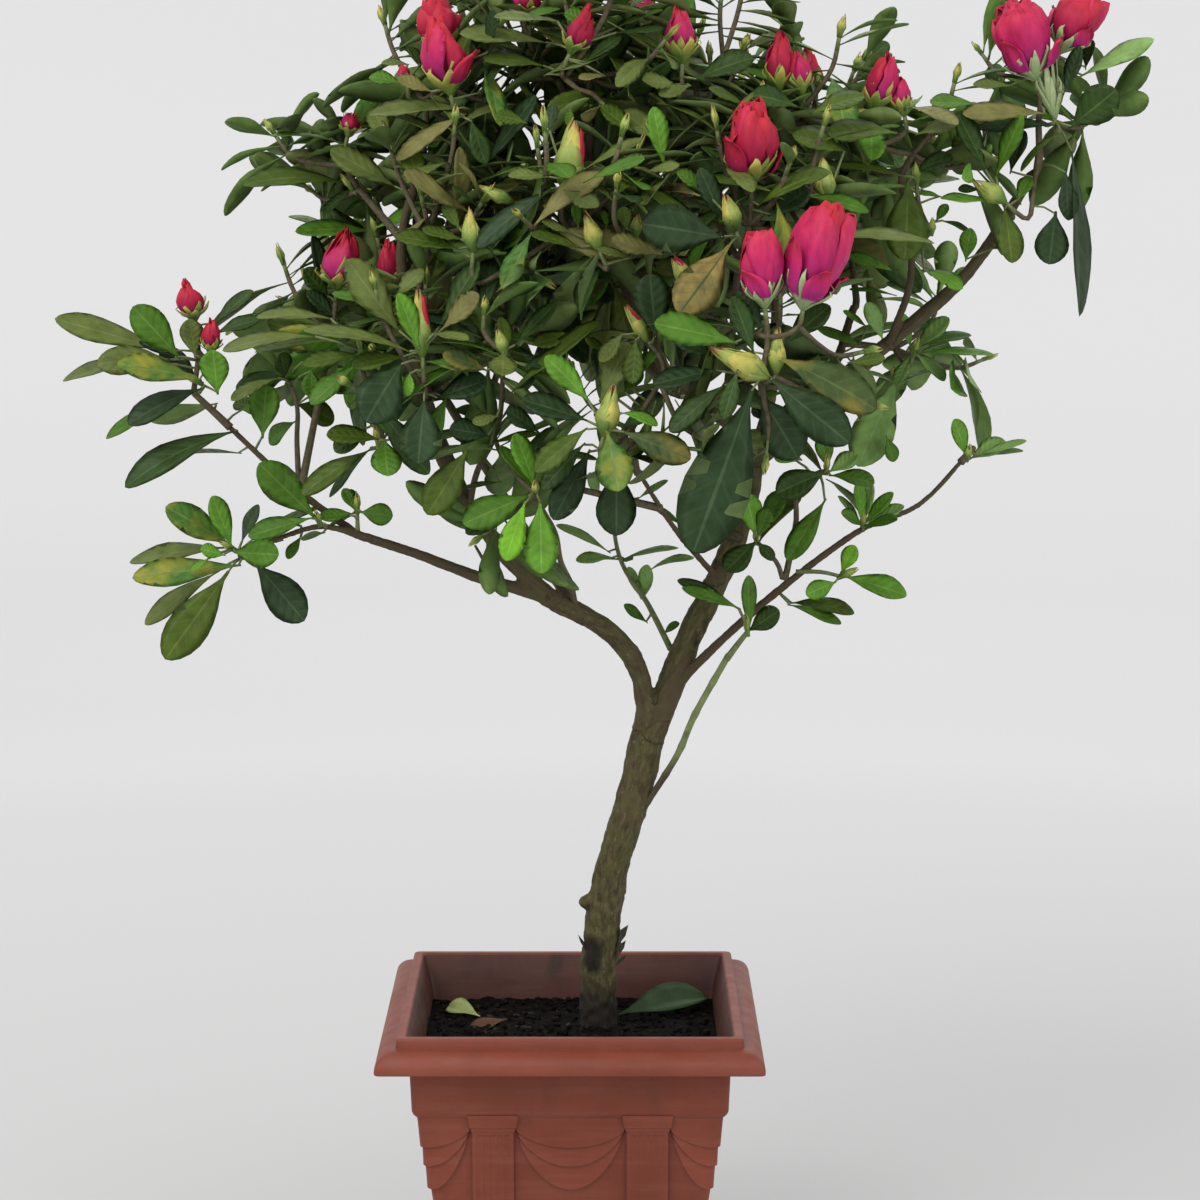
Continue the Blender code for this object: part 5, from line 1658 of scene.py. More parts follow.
# Each known leaf: its root, its tip, its width, how far it faces the front, its droop, its tone
PLACED = {
    "left_tip": (
        (-176, -24, 445, -224, -30, 460, 14, 0.8, 6, "grey"),
        (-169, -36, 443, -188, -44, 466, 15, 0.95, 12, "mid"),
        (-172, -24, 442, -189, -22, 455, 12, 0.8, 8, "deep"),
        (-173, -30, 442, -205, -38, 442, 14, 0.9, 22, "grey"),
        (-159, -42, 434, -194, -52, 443, 14, 0.85, 14, "patch"),
        (-183, -20, 440, -237, -14, 430, 15, 0.42, 34, "grey"),
        (-159, -34, 430, -191, -46, 416, 15, 0.7, 34, "deep"),
        (-168, -22, 426, -204, -26, 408, 12, 0.6, 28, "mid"),
        (-155, -18, 422, -186, -10, 413, 10, -0.7, 8, "light"),
        (-145, -30, 411, -194, -44, 390, 15, 0.78, 42, "dark"),
        (-145, -18, 400, -176, -14, 400, 8, 0.4, 12, "dark"),
        (-152, -44, 428, -153, -54, 448, 13, 1, 6, "fresh"),
        (-163, -32, 443, -165, -32, 460, 11, 0.9, 4, "grey"),
        (-163, -20, 431, -180, -18, 446, 12, 0.8, 8, "deep"),
        (-156, -26, 457, -139, -20, 472, 9, 0.7, 8, "dark"),
        (-155, -32, 453, -135, -30, 460, 9, 0.7, 20, "dark"),
        (-119, -14, 434, -147, -20, 429, 13, 0.6, 30, "dark"),
        (-125, -20, 433, -126, -26, 445, 9, 0.8, 6, "dark"),
        (-123, -16, 439, -108, -8, 451, 9, 0.6, 20, "dark"),
        (-118, -22, 440, -100, -26, 446, 9, 0.6, 24, "grey"),
        (-113, -28, 438, -112, -38, 426, 10, 0.95, 8, "mid"),
        (-123, 2, 420, -106, 10, 412, 13, 0.8, 20, "olive"),
        (-123, 4, 412, -136, 10, 402, 11, 0.7, 16, "mid"),
        (-126, -30, 434, -146, -44, 426, 10, 0.5, 44, "grey"),
        (-140, 4, 418, -151, 8, 420, 10, 0.8, 14, "olive"),
        (-134, -34, 408, -132, -32, 432, 15, 0.95, 10, "mid"),
        (-124, -12, 435, -115, -6, 452, 12, 0.7, 10, "dark"),
        (-145, -20, 419, -132, -30, 424, 10, 0.9, 10, "mid"),
    ),
    "left_low": (
        (-147, -45, 362, -174, -53, 381, 15, 0.85, 14, "patch"),
        (-146, -52, 362, -153, -58, 386, 11, 0.75, 8, "fresh"),
        (-143, -44, 363, -136, -40, 380, 11, 0.65, 10, "deep"),
        (-111, -48, 375, -139, -52, 367, 11, 0.8, 14, "mid"),
        (-110, -44, 374, -134, -52, 399, 16, 1, 8, "mid"),
        (-118, -40, 371, -134, -38, 365, 10, 0.6, 10, "dark"),
        (-145, -56, 361, -124, -72, 362, 13, 1, 12, "mid"),
        (-137, -50, 356, -114, -60, 332, 17, 1, 8, "deep"),
        (-149, -42, 361, -193, -38, 354, 14, 0.65, 24, "grey"),
        (-142, -54, 355, -188, -62, 350, 15, 0.8, 14, "patch"),
        (-153, -44, 351, -186, -44, 328, 13, 0.65, 12, "grey"),
        (-147, -58, 353, -173, -70, 316, 18, 1, 14, "olive"),
        (-148, -60, 360, -158, -66, 364, 7, 0.8, 10, "fresh"),
        (-155, -60, 359, -162, -66, 354, 6, 0.7, 12, "fresh"),
        (-117, -38, 366, -123, -42, 356, 6, 0.8, 14, "mid"),
        (-107, -36, 367, -118, -34, 364, 7, 0.6, 10, "light"),
        (-92, -36, 376, -77, -42, 375, 10, 1, 8, "mid"),
        (-94, -34, 376, -99, -32, 386, 6, 0.9, 8, "mid"),
        (-93, -32, 375, -96, -26, 385, 6, 0.7, 8, "dark"),
        (-94, -34, 375, -109, -40, 374, 8, 0.7, 20, "mid"),
        (-95, -30, 374, -106, -30, 369, 5, 0.6, 10, "dark"),
    ),
    "left_pair": (
        (-98, 4, 517, -144, -4, 519, 17, 0.55, 40, "olive"),
        (-96, 4, 516, -110, 6, 505, 8, 0.6, 10, "dark"),
        (-88, 18, 496, -123, 14, 496, 13, 0.75, 22, "fresh"),
        (-86, -4, 498, -66, 0, 507, 9, 0.8, 8, "fresh"),
        (-109, 8, 465, -114, 12, 495, 9, 0.8, 10, "deep"),
        (-107, 2, 467, -118, -2, 480, 11, 0.85, 12, "dark"),
        (-102, -6, 457, -116, -8, 471, 9, 0.7, 12, "deep"),
        (-86, 6, 514, -101, 8, 504, 6, 0.5, 6, "dark"),
        (-86, -2, 500, -89, 0, 510, 6, 0.8, 10, "dark"),
        (-76, -10, 516, -105, -12, 532, 14, 0.8, 12, "grey"),
        (-77, -20, 497, -46, -26, 485, 10, 0.8, 10, "olive"),
    ),
    "left_front": (
        (-100, -66, 462, -133, -64, 463, 13, 0.5, 26, "grey"),
        (-106, -74, 455, -146, -78, 451, 13, 0.55, 34, "grey"),
        (-101, -66, 453, -134, -64, 448, 10, 0.5, 20, "olive"),
        (-86, -76, 447, -112, -80, 444, 12, 0.6, 34, "olive"),
        (-89, -82, 444, -108, -90, 428, 11, 0.8, 14, "mid"),
        (-70, -92, 458, -92, -98, 488, 16, 0.95, 12, "grey"),
        (-62, -96, 451, -70, -100, 475, 11, 0.85, 10, "fresh"),
        (-73, -84, 472, -61, -80, 484, 11, 0.8, 8, "grey"),
        (-54, -86, 460, -37, -84, 487, 12, 0.85, 10, "dark"),
        (-53, -90, 459, -37, -90, 474, 11, 0.8, 8, "tan"),
        (-57, -98, 458, -41, -104, 456, 10, 0.5, 16, "grey"),
        (-65, -96, 450, -109, -104, 461, 13, 0.5, 36, "grey"),
        (-69, -96, 446, -84, -112, 423, 20, 1, 22, "deep"),
        (-68, -92, 448, -90, -98, 445, 14, 0.6, 20, "olive"),
        (-60, -98, 431, -62, -110, 405, 18, 1, 14, "deep"),
        (-77, -94, 414, -75, -110, 400, 13, 1, 14, "mid"),
        (-79, -80, 412, -102, -84, 415, 11, 0.7, 14, "olive"),
        (-85, -76, 417, -99, -80, 407, 11, 0.9, 10, "dark"),
        (-84, -70, 407, -114, -76, 389, 12, 0.75, 22, "olive"),
        (-84, -66, 408, -103, -64, 386, 8, 0.4, 8, "dark"),
        (-66, -94, 442, -67, -100, 432, 6, 0.9, 8, "fresh"),
        (-60, -92, 446, -36, -96, 443, 12, 0.65, 20, "patch"),
        (-56, -88, 430, -34, -92, 438, 14, 0.8, 18, "deep"),
        (-72, -90, 413, -80, -90, 430, 11, 0.9, 8, "mid"),
        (-51, -84, 431, -59, -86, 412, 10, 0.8, 10, "mid"),
        (-73, -92, 429, -70, -90, 440, 7, 0.8, 8, "fresh"),
    ),
    "drooping": (
        (-16, -92, 390, -44, -102, 379, 15, 0.95, 16, "mid"),
        (-16, -84, 388, -44, -88, 374, 13, 0.85, 18, "dark"),
        (-18, -98, 388, -27, -104, 364, 11, 1, 8, "bright"),
        (-12, -94, 388, -11, -102, 358, 15, 1, 12, "fresh"),
        (-14, -90, 392, -22, -90, 416, 11, 0.85, 10, "fresh"),
        (-15, -84, 392, -29, -82, 410, 8, 0.8, 10, "mid"),
        (-33, -84, 414, -50, -88, 418, 11, 0.9, 10, "deep"),
        (-29, -88, 423, -40, -92, 420, 7, 0.8, 10, "grey"),
        (-34, -80, 410, -12, -78, 415, 7, 0.6, 24, "olive"),
        (-42, -96, 410, -58, -106, 383, 15, 1, 12, "olive"),
        (-12, -92, 416, -26, -94, 426, 10, 0.8, 16, "deep"),
        (-29, -60, 392, -49, -54, 388, 7, 0.5, 10, "grey"),
        (16, -86, 432, 11, -80, 451, 8, 0.8, 8, "deep"),
    ),
    "front_bud": (
        (16, -116, 419, 21, -130, 396, 16, 1, 14, "patch"),
        (22, -114, 419, 50, -122, 408, 14, 0.92, 14, "patch_dark"),
        (9, -106, 422, -19, -110, 432, 14, 0.7, 12, "deep"),
        (9, -106, 430, -9, -110, 450, 11, 0.92, 14, "fresh"),
        (21, -110, 426, 37, -114, 422, 10, 0.55, 60, "fresh"),
        (20, -98, 404, 20, -102, 374, 17, 1, 8, "deep"),
        (22, -100, 419, 32, -98, 424, 7, 0.8, 8, "dark"),
        (24, -102, 408, 40, -102, 404, 8, 0.5, 12, "dark"),
        (13, -92, 429, 25, -88, 454, 16, 0.95, 10, "grey"),
        (23, -90, 432, 30, -86, 443, 8, 0.9, 8, "mid"),
        (24, -88, 435, 37, -84, 451, 9, 0.6, 8, "mid"),
        (8, -110, 420, -14, -118, 403, 11, 0.95, 12, "olive"),
        (7, -102, 413, -11, -106, 394, 10, 0.9, 10, "dark"),
        (9, -100, 410, -6, -106, 381, 13, 1, 10, "deep"),
        (-27, -96, 450, -27, -114, 442, 12, 1, 10, "grey"),
        (-24, -94, 433, 13, -90, 463, 13, 0.65, 18, "olive"),
        (-23, -92, 452, -5, -88, 470, 10, 0.7, 8, "dark"),
        (-25, -90, 451, -28, -88, 464, 8, 0.85, 6, "olive"),
        (-23, -92, 434, -14, -92, 439, 6, 0.8, 8, "deep"),
        (-19, -94, 444, -4, -94, 446, 10, 0.7, 14, "deep"),
        (3, -84, 457, -15, -84, 453, 11, 0.8, 10, "olive"),
        (-33, -96, 442, -52, -100, 450, 11, 0.7, 16, "patch_dark"),
        (16, -80, 448, 7, -78, 455, 7, 0.6, 20, "patch"),
    ),
    "front_pair": (
        (69, -126, 456, 35, -136, 465, 15, 0.88, 12, "mid"),
        (76, -122, 451, 67, -124, 475, 11, 0.95, 8, "dark"),
        (85, -122, 450, 126, -128, 430, 18, 0.95, 34, "patch_dark"),
        (82, -128, 442, 114, -136, 416, 18, 1, 18, "deep"),
        (78, -118, 435, 95, -122, 409, 19, 1, 12, "deep"),
        (75, -130, 438, 51, -144, 372, 28, 1, 12, "deep"),
        (69, -132, 446, 63, -138, 426, 8, 0.95, 8, "dark"),
        (65, -118, 439, 41, -120, 420, 11, 0.85, 12, "dark"),
        (62, -112, 444, 35, -112, 438, 14, 0.75, 14, "deep"),
        (88, -112, 454, 108, -108, 470, 12, 0.8, 10, "dark"),
        (60, -108, 449, 44, -106, 458, 12, 0.8, 10, "deep"),
        (66, -110, 495, 46, -118, 467, 19, 1, 14, "veined"),
        (36, -102, 456, 34, -102, 483, 16, 0.95, 6, "deep"),
        (64, -106, 498, 30, -112, 504, 20, 1, 8, "deep"),
        (80, -114, 460, 70, -110, 476, 9, 0.9, 6, "deep"),
        (99, -92, 496, 152, -92, 496, 14, 0.55, 34, "grey"),
        (28, -92, 456, 27, -92, 437, 10, 0.95, 8, "olive"),
        (23, -92, 458, 13, -94, 446, 9, 0.9, 8, "grey"),
        (88, -118, 435, 80, -116, 434, 5, 0.7, 8, "mid"),
    ),
    "front_upper": (
        (78, -90, 510, 108, -92, 525, 17, 0.55, 40, "olive"),
        (65, -88, 502, 54, -88, 526, 10, 0.9, 6, "deep"),
        (58, -86, 515, 45, -86, 525, 9, 0.8, 10, "mid"),
        (83, -86, 506, 100, -84, 517, 13, 0.85, 10, "deep"),
        (99, -78, 514, 126, -76, 508, 12, 0.6, 30, "mid"),
        (70, -92, 512, 62, -96, 504, 7, 0.9, 8, "mid"),
        (96, -70, 551, 77, -74, 556, 12, 0.8, 24, "dark"),
        (101, -66, 548, 124, -66, 556, 15, 0.65, 22, "olive"),
        (139, -60, 540, 109, -64, 540, 16, 0.6, 24, "olive"),
        (117, -64, 532, 94, -68, 540, 16, 0.75, 22, "olive"),
        (53, -48, 562, 78, -50, 572, 15, 0.7, 22, "dark"),
        (52, -52, 560, 38, -60, 556, 10, 0.7, 20, "grey"),
        (75, -56, 551, 59, -58, 559, 11, 0.6, 20, "olive"),
        (40, -74, 526, 35, -74, 551, 11, 0.85, 8, "fresh"),
        (28, -60, 540, 13, -60, 551, 12, 0.8, 10, "olive"),
        (32, -82, 524, 46, -86, 527, 9, 0.6, 30, "grey"),
    ),
    "centre_bud": (
        (-7, -84, 522, -25, -88, 523, 11, 0.6, 16, "grey"),
        (-2, -92, 517, 12, -100, 510, 11, 0.85, 10, "grey"),
        (-6, -86, 518, -39, -90, 494, 12, 0.8, 20, "deep"),
        (6, -84, 525, 31, -84, 538, 10, 0.45, 12, "grey"),
        (2, -90, 499, -11, -94, 504, 7, 0.7, 8, "grey"),
        (6, -92, 493, -16, -96, 499, 9, 0.7, 14, "olive"),
        (24, -88, 500, 23, -88, 510, 7, 1, 4, "olive"),
        (40, -92, 490, 18, -98, 497, 10, 0.85, 10, "tan"),
        (27, -94, 489, 12, -98, 493, 8, 0.6, 10, "grey"),
        (4, -84, 501, 3, -82, 511, 6, 0.9, 6, "mid"),
        (16, -84, 501, 15, -82, 508, 4, 0.9, 6, "mid"),
        (1, -76, 551, 0, -74, 543, 5, 0.9, 6, "mid"),
        (-8, -74, 540, -7, -70, 552, 7, 0.9, 6, "deep"),
        (-17, -72, 544, -30, -76, 548, 8, 0.8, 10, "olive"),
        (-45, -84, 500, -52, -82, 511, 7, 0.9, 8, "olive"),
        (-44, -84, 496, -61, -84, 501, 10, 0.7, 12, "olive"),
        (-45, -82, 492, -72, -84, 498, 12, 0.75, 16, "olive"),
        (-47, -78, 490, -59, -78, 496, 8, 0.8, 10, "dark"),
    ),
    "upper_left": (
        (-44, -46, 548, -74, -52, 529, 11, 0.75, 26, "tan"),
        (-42, -40, 550, -86, -40, 548, 16, 0.55, 24, "grey"),
        (-10, -36, 568, -37, -36, 572, 13, 0.55, 24, "olive"),
        (-38, -40, 556, -28, -36, 570, 11, 0.6, 34, "dark"),
        (-9, -30, 578, -47, -36, 583, 15, 0.6, 18, "grey"),
        (-35, -34, 573, -32, -34, 592, 7, 0.7, 6, "deep"),
        (-58, -44, 557, -73, -46, 563, 10, 0.7, 16, "tan"),
        (-72, -36, 561, -86, -32, 564, 9, 0.8, 12, "mid"),
        (-69, -30, 569, -81, -28, 570, 8, 0.5, 14, "grey"),
        (-64, -28, 568, -69, -24, 577, 7, 0.7, 30, "dark"),
        (-11, -42, 564, 16, -42, 574, 13, 0.55, 18, "grey"),
        (-37, -40, 525, -14, -34, 556, 13, 0.7, 8, "deep"),
        (-42, -50, 546, -35, -54, 527, 11, 0.9, 8, "dark"),
    ),
    "top_middle": (
        (-4, -42, 587, -32, -46, 589, 11, 0.5, 12, "grey"),
        (19, -40, 584, 40, -40, 592, 11, 0.5, 10, "olive"),
        (19, -44, 582, 40, -48, 584, 10, 0.45, 10, "dark"),
        (12, -36, 586, -2, -34, 591, 9, 0.9, 8, "mid"),
        (46, -52, 560, 31, -60, 562, 10, 0.85, 12, "grey"),
        (16, -50, 564, 4, -54, 563, 7, 0.5, 12, "tan"),
        (6, -46, 569, 22, -44, 581, 10, 0.7, 14, "dark"),
        (-22, -30, 588, -4, -26, 593, 10, 0.6, 14, "mid"),
    ),
    "right_top": (
        (222, -14, 564, 253, -18, 580, 15, 0.65, 6, "light"),
        (217, -18, 542, 236, -28, 558, 17, 1, 14, "dark"),
        (225, -8, 567, 228, -4, 580, 7, 0.7, 6, "dark"),
        (214, -20, 556, 221, -20, 577, 9, 0.75, 6, "deep"),
        (193, -12, 560, 176, -8, 561, 9, 0.65, 8, "grey"),
        (207, -20, 548, 170, -26, 548, 14, 0.7, 26, "tan"),
        (212, -14, 543, 178, -12, 542, 14, 0.6, 18, "deep"),
        (181, -22, 523, 168, -24, 548, 12, 0.85, 8, "dark"),
        (185, -20, 520, 195, -18, 548, 11, 0.75, 10, "mid"),
        (192, -16, 522, 198, -12, 541, 10, 0.7, 6, "deep"),
        (186, -20, 510, 161, -24, 512, 11, 0.5, 16, "fresh"),
        (189, -22, 508, 192, -30, 484, 13, 0.95, 10, "olive"),
        (195, -18, 510, 201, -16, 521, 8, 0.8, 8, "mid"),
        (219, -12, 533, 225, -16, 460, 20, 0.6, 8, "deep"),
        (216, -16, 524, 217, -20, 502, 11, 0.9, 14, "deep"),
        (212, -18, 506, 209, -22, 483, 15, 1, 10, "deep"),
        (214, -18, 540, 195, -22, 524, 7, 0.5, 50, "olive"),
        (181, -8, 544, 168, -6, 531, 12, 0.7, 14, "olive"),
    ),
    "right_middle": (
        (173, -18, 484, 174, -24, 499, 8, 0.9, 14, "mid"),
        (162, -14, 502, 176, -14, 496, 7, 0.5, 30, "dark"),
        (154, -16, 480, 172, -20, 473, 12, 0.6, 46, "fresh"),
        (147, -22, 520, 146, -28, 485, 19, 1, 12, "olive"),
        (150, -14, 522, 167, -14, 530, 11, 0.7, 24, "dark"),
        (160, -14, 501, 165, -14, 509, 6, 0.7, 8, "mid"),
        (163, -14, 512, 152, -14, 514, 7, 0.5, 8, "fresh"),
        (180, -10, 515, 170, -10, 515, 6, 0.7, 10, "dark"),
        (146, -30, 521, 113, -32, 526, 13, 0.5, 20, "olive"),
        (149, -30, 539, 167, -32, 544, 12, 0.6, 22, "grey"),
        (146, -34, 551, 167, -38, 544, 14, 0.5, 24, "tan"),
        (177, -20, 552, 156, -22, 553, 12, 0.6, 16, "mid"),
    ),
    "right_behind": (
        (151, 62, 427, 133, 54, 386, 20, 1, 10, "light"),
        (145, 50, 401, 149, 48, 389, 8, 0.8, 8, "mid"),
        (149, 56, 476, 126, 56, 484, 11, 0.7, 18, "fresh"),
        (150, 58, 465, 128, 58, 468, 7, 0.4, 24, "mid"),
        (144, 58, 444, 136, 58, 462, 12, 0.8, 8, "light"),
        (137, 56, 450, 125, 56, 458, 6, 0.6, 10, "fresh"),
        (134, 54, 442, 113, 54, 450, 11, 0.6, 14, "mid"),
        (158, 56, 440, 174, 56, 455, 11, 0.7, 14, "light"),
        (160, 54, 439, 195, 52, 438, 11, 0.5, 14, "fresh"),
        (158, 56, 439, 172, 52, 426, 11, 0.7, 16, "light"),
        (157, 58, 440, 152, 60, 457, 9, 0.7, 8, "fresh"),
        (157, 58, 438, 150, 54, 424, 8, 0.8, 10, "light"),
        (159, 60, 441, 185, 62, 447, 11, 0.5, 14, "mid"),
        (171, 50, 472, 186, 50, 478, 10, 0.6, 14, "fresh"),
    ),
    "right_low": (
        (113, -22, 392, 90, -30, 384, 14, 0.92, 12, "dark"),
        (84, -24, 365, 94, -24, 384, 11, 0.85, 8, "mid"),
        (82, -28, 363, 77, -28, 383, 11, 0.9, 8, "fresh"),
        (82, -32, 363, 68, -38, 350, 12, 0.92, 10, "dark"),
        (82, -28, 362, 89, -32, 354, 7, 0.9, 14, "dark"),
        (113, -20, 380, 96, -26, 353, 11, 0.92, 12, "mid"),
        (121, -18, 345, 149, -24, 338, 13, 0.85, 16, "fresh"),
        (120, -16, 346, 126, -18, 359, 8, 0.9, 6, "bright"),
        (118, -20, 343, 104, -26, 338, 9, 1, 10, "fresh"),
        (97, -18, 333, 126, -22, 330, 12, 0.65, 34, "olive"),
        (96, -22, 333, 120, -28, 326, 9, 0.6, 26, "mid"),
        (78, -30, 322, 92, -34, 332, 11, 0.85, 10, "dark"),
        (79, -30, 322, 78, -28, 347, 8, 0.9, 6, "mid"),
        (75, -32, 332, 47, -36, 346, 10, 0.6, 16, "dark"),
        (75, -36, 333, 49, -42, 344, 9, 0.75, 20, "mid"),
        (130, -8, 366, 119, -10, 380, 8, 0.6, 20, "light"),
        (130, -10, 366, 127, -10, 387, 8, 0.8, 8, "fresh"),
        (130, -8, 366, 134, -4, 386, 8, 0.8, 8, "light"),
        (130, -10, 366, 143, -10, 382, 8, 0.7, 16, "fresh"),
        (130, -12, 366, 148, -14, 376, 9, 0.5, 24, "light"),
        (130, -12, 366, 144, -18, 371, 9, 0.6, 30, "mid"),
        (130, -12, 366, 120, -18, 374, 8, 0.6, 40, "mid"),
        (114, -18, 390, 134, -22, 387, 12, 0.6, 30, "mid"),
        (114, -16, 391, 127, -14, 399, 10, 0.85, 8, "light"),
        (114, -14, 392, 111, -10, 407, 9, 0.9, 8, "mid"),
        (101, -16, 396, 90, -14, 398, 7, 0.8, 10, "fresh"),
        (82, -30, 364, 87, -34, 377, 9, 0.8, 8, "mid"),
    ),
    "right_low_tip": (
        (178, 10, 395, 172, 6, 413, 9, 0.9, 8, "fresh"),
        (179, 10, 394, 195, 10, 403, 10, 0.8, 12, "light"),
        (182, 8, 396, 204, 8, 403, 6, 0.6, 14, "light"),
        (182, 14, 395, 204, 14, 398, 6, 0.6, 24, "mid"),
    ),
    "stem_shoot": (
        (33, 24, 328, 35, 20, 345, 8, 0.9, 6, "light"),
        (32, 26, 328, 26, 28, 343, 6, 0.8, 8, "light"),
        (35, 26, 341, 56, 26, 348, 6, 0.5, 60, "light"),
        (22, 30, 346, 8, 30, 347, 6, 0.5, 10, "mid"),
        (23, 30, 346, 28, 24, 347, 5, 0.6, 10, "mid"),
        (35, 20, 318, 24, 18, 327, 6, 0.8, 8, "mid"),
        (42, 18, 313, 49, 14, 319, 5, 0.6, 50, "mid"),
        (18, 30, 349, -7, 30, 362, 8, 0.55, 24, "light"),
        (20, 28, 347, 2, 24, 347, 8, 0.6, 30, "light"),
        (23, 30, 346, 49, 30, 352, 7, 0.55, 26, "light"),
        (30, 26, 374, 49, 22, 364, 6, 0.6, 24, "mid"),
        (30, 28, 374, 44, 28, 383, 6, 0.6, 12, "light"),
        (13, 30, 374, 8, 30, 386, 7, 0.8, 10, "light"),
    ),
}
# Gaps in the crown where the wall shows through: the middle and half sizes in x and z
GAPS = (
    (-108, 592, 24, 32), (-130, 565, 15, 18), (-112, 411, 7, 14), (-77, 346, 35, 20),
    (31, 345, 20, 28), (-133, 480, 15, 15), (-124, 509, 15, 5), (-31, 562, 6, 4),
    (-15, 557, 8, 4), (-17, 535, 7, 4), (-22, 585, 9, 5), (-82, 580, 7, 19),
    (162, 505, 10, 12), (198, 528, 7, 10), (163, 406, 15, 20), (119, 357, 7, 12),
    (65, 320, 10, 8), (-202, 368, 27, 12), (-143, 390, 18, 12), (70, 589, 13, 22),
    (116, 582, 13, 26), (164, 574, 17, 20), (247, 510, 17, 31), (182, 466, 26, 15),
    (135, 314, 40, 18), (202, 438, 18, 24),
)
PALE_MASSES = ("right_behind", "stem_shoot", "right_low_tip")
FRESH_MASSES = ("right_low", "right_low_base", "left_low", "drooping")
DARK_MASSES = ("left_tip", "left_front", "front_bud", "front_pair", "inner_middle")
LEAF_LENGTH = (36.0, 53.0)
LEAF_LIFT = (-12.0, 52.0)
# What is tried until a leaf stands clear. A known one: how far it slips from the eye and its share
# of its length. A grown one: its share of its length and how far it turns round its twig.
PLACED_TRIES = ((0, 1.0), (-5, 1.0), (5, 1.0), (-10, 1.0), (10, 1.0), (0, 0.88), (0, 0.76), (0, 0.66))
LEAF_TRIES = ((1, 0), (1, 28), (1, -28), (1, 60), (1, -60), (0.84, 0), (0.84, 45), (0.7, -14), (0.6, 20))
FEWEST_LEAVES = 3
VIEW_CELL = 5.0
MOST_HIDDEN = 3
LEAF_GROUPS = {
    "leaves_left": ("left_tip", "left_low", "left_pair", "left_front", "drooping"),
    "leaves_front": ("front_bud", "front_pair", "front_upper", "centre_bud", "inner_middle"),
    "leaves_top": ("middle_left", "upper_left", "upper_left_tip", "top_left", "top_middle", "top_right"),
    "leaves_right": ("right_first", "right_second", "right_middle", "right_top", "right_behind"),
    "leaves_low": ("right_low_tip", "right_low", "right_low_base", "stem_shoot"),
    "leaves_back": ("back_left", "back_middle_left", "back_middle", "back_right"),
    "leaves_back_top": ("back_upper_left", "back_upper", "back_upper_right"),
}
EYE = Vector((13.0, -1464.0, 550.0))
group_of = {mass: group for group, names in LEAF_GROUPS.items() for mass in names}
leaf_heaps = {group: Heap() for group in LEAF_GROUPS}


def tone_for(mass, chance):
    """The tone of one spray's leaves."""
    if mass.name in PALE_MASSES:
        return chance.choice(("fresh", "light", "mid", "light", "fresh"))
    if mass.name in FRESH_MASSES:
        return chance.choice(("mid", "mid", "fresh", "dark", "olive"))
    if mass.name in DARK_MASSES:
        return chance.choice(("deep", "dark", "olive", "grey", "mid", "mid"))
    if mass.name.startswith("right"):
        return chance.choice(("grey", "mid", "fresh", "mid", "fresh", "patch"))
    # The upper and back sprays take many grey and tan leaves: partly greyish olive, partly painted sheen.
    return chance.choice(("grey", "tan", "olive", "grey", "dark", "mid", "olive", "dark", "patch"))


def seen_at(point):
    """Where a point is seen from the eye, on the plane through the trunk: x and z."""
    share = -EYE.y / (point.y - EYE.y)
    return EYE.x + (point.x - EYE.x) * share, EYE.z + (point.z - EYE.z) * share


def closes_gap(points):
    """If a leaf, seen from the front, would stand in one of the crown's gaps."""
    for point in points:
        x, z = seen_at(point)
        for middle_x, middle_z, half_x, half_z in GAPS:
            if ((x - middle_x) / half_x) ** 2 + ((z - middle_z) / half_z) ** 2 < 1.0:
                return True
    return False


seen = {}


def view_cell(point):
    """The small square of the front view that a point is seen in."""
    x, z = seen_at(point)
    return round(x / VIEW_CELL), round(z / VIEW_CELL)


def note_seen(points):
    """Note how near the eye the known things are in each square."""
    for point in points:
        cell = view_cell(point)
        seen[cell] = min(point.y, seen.get(cell, math.inf))


def hides_known(points):
    """If a leaf would cover a head or a leaf that is known to be in view."""
    return sum(point.y < seen.get(view_cell(point), -math.inf) for point in points) > MOST_HIDDEN


for _, tip, way, kind, length, radius, *_ in shoots:
    if kind != "leafy" and tip.y < 20.0:
        side = way.cross(Vector((0, 1, 0))).normalized() * radius
        for k in range(3, 9):
            place = tip + way * (length * k / 8)
            note_seen([place, place + side, place - side, place + side * 0.5, place - side * 0.5])


def add_leaf(heap, blade, tone):
    """Lay a blade in a heap with the three finishes of its tone."""
    points, faces, kinds, spots = blade
    base = TONE_NAMES.index(tone) * 3
    heap.add(points, faces, [base + face_kind for face_kind in kinds], spots)


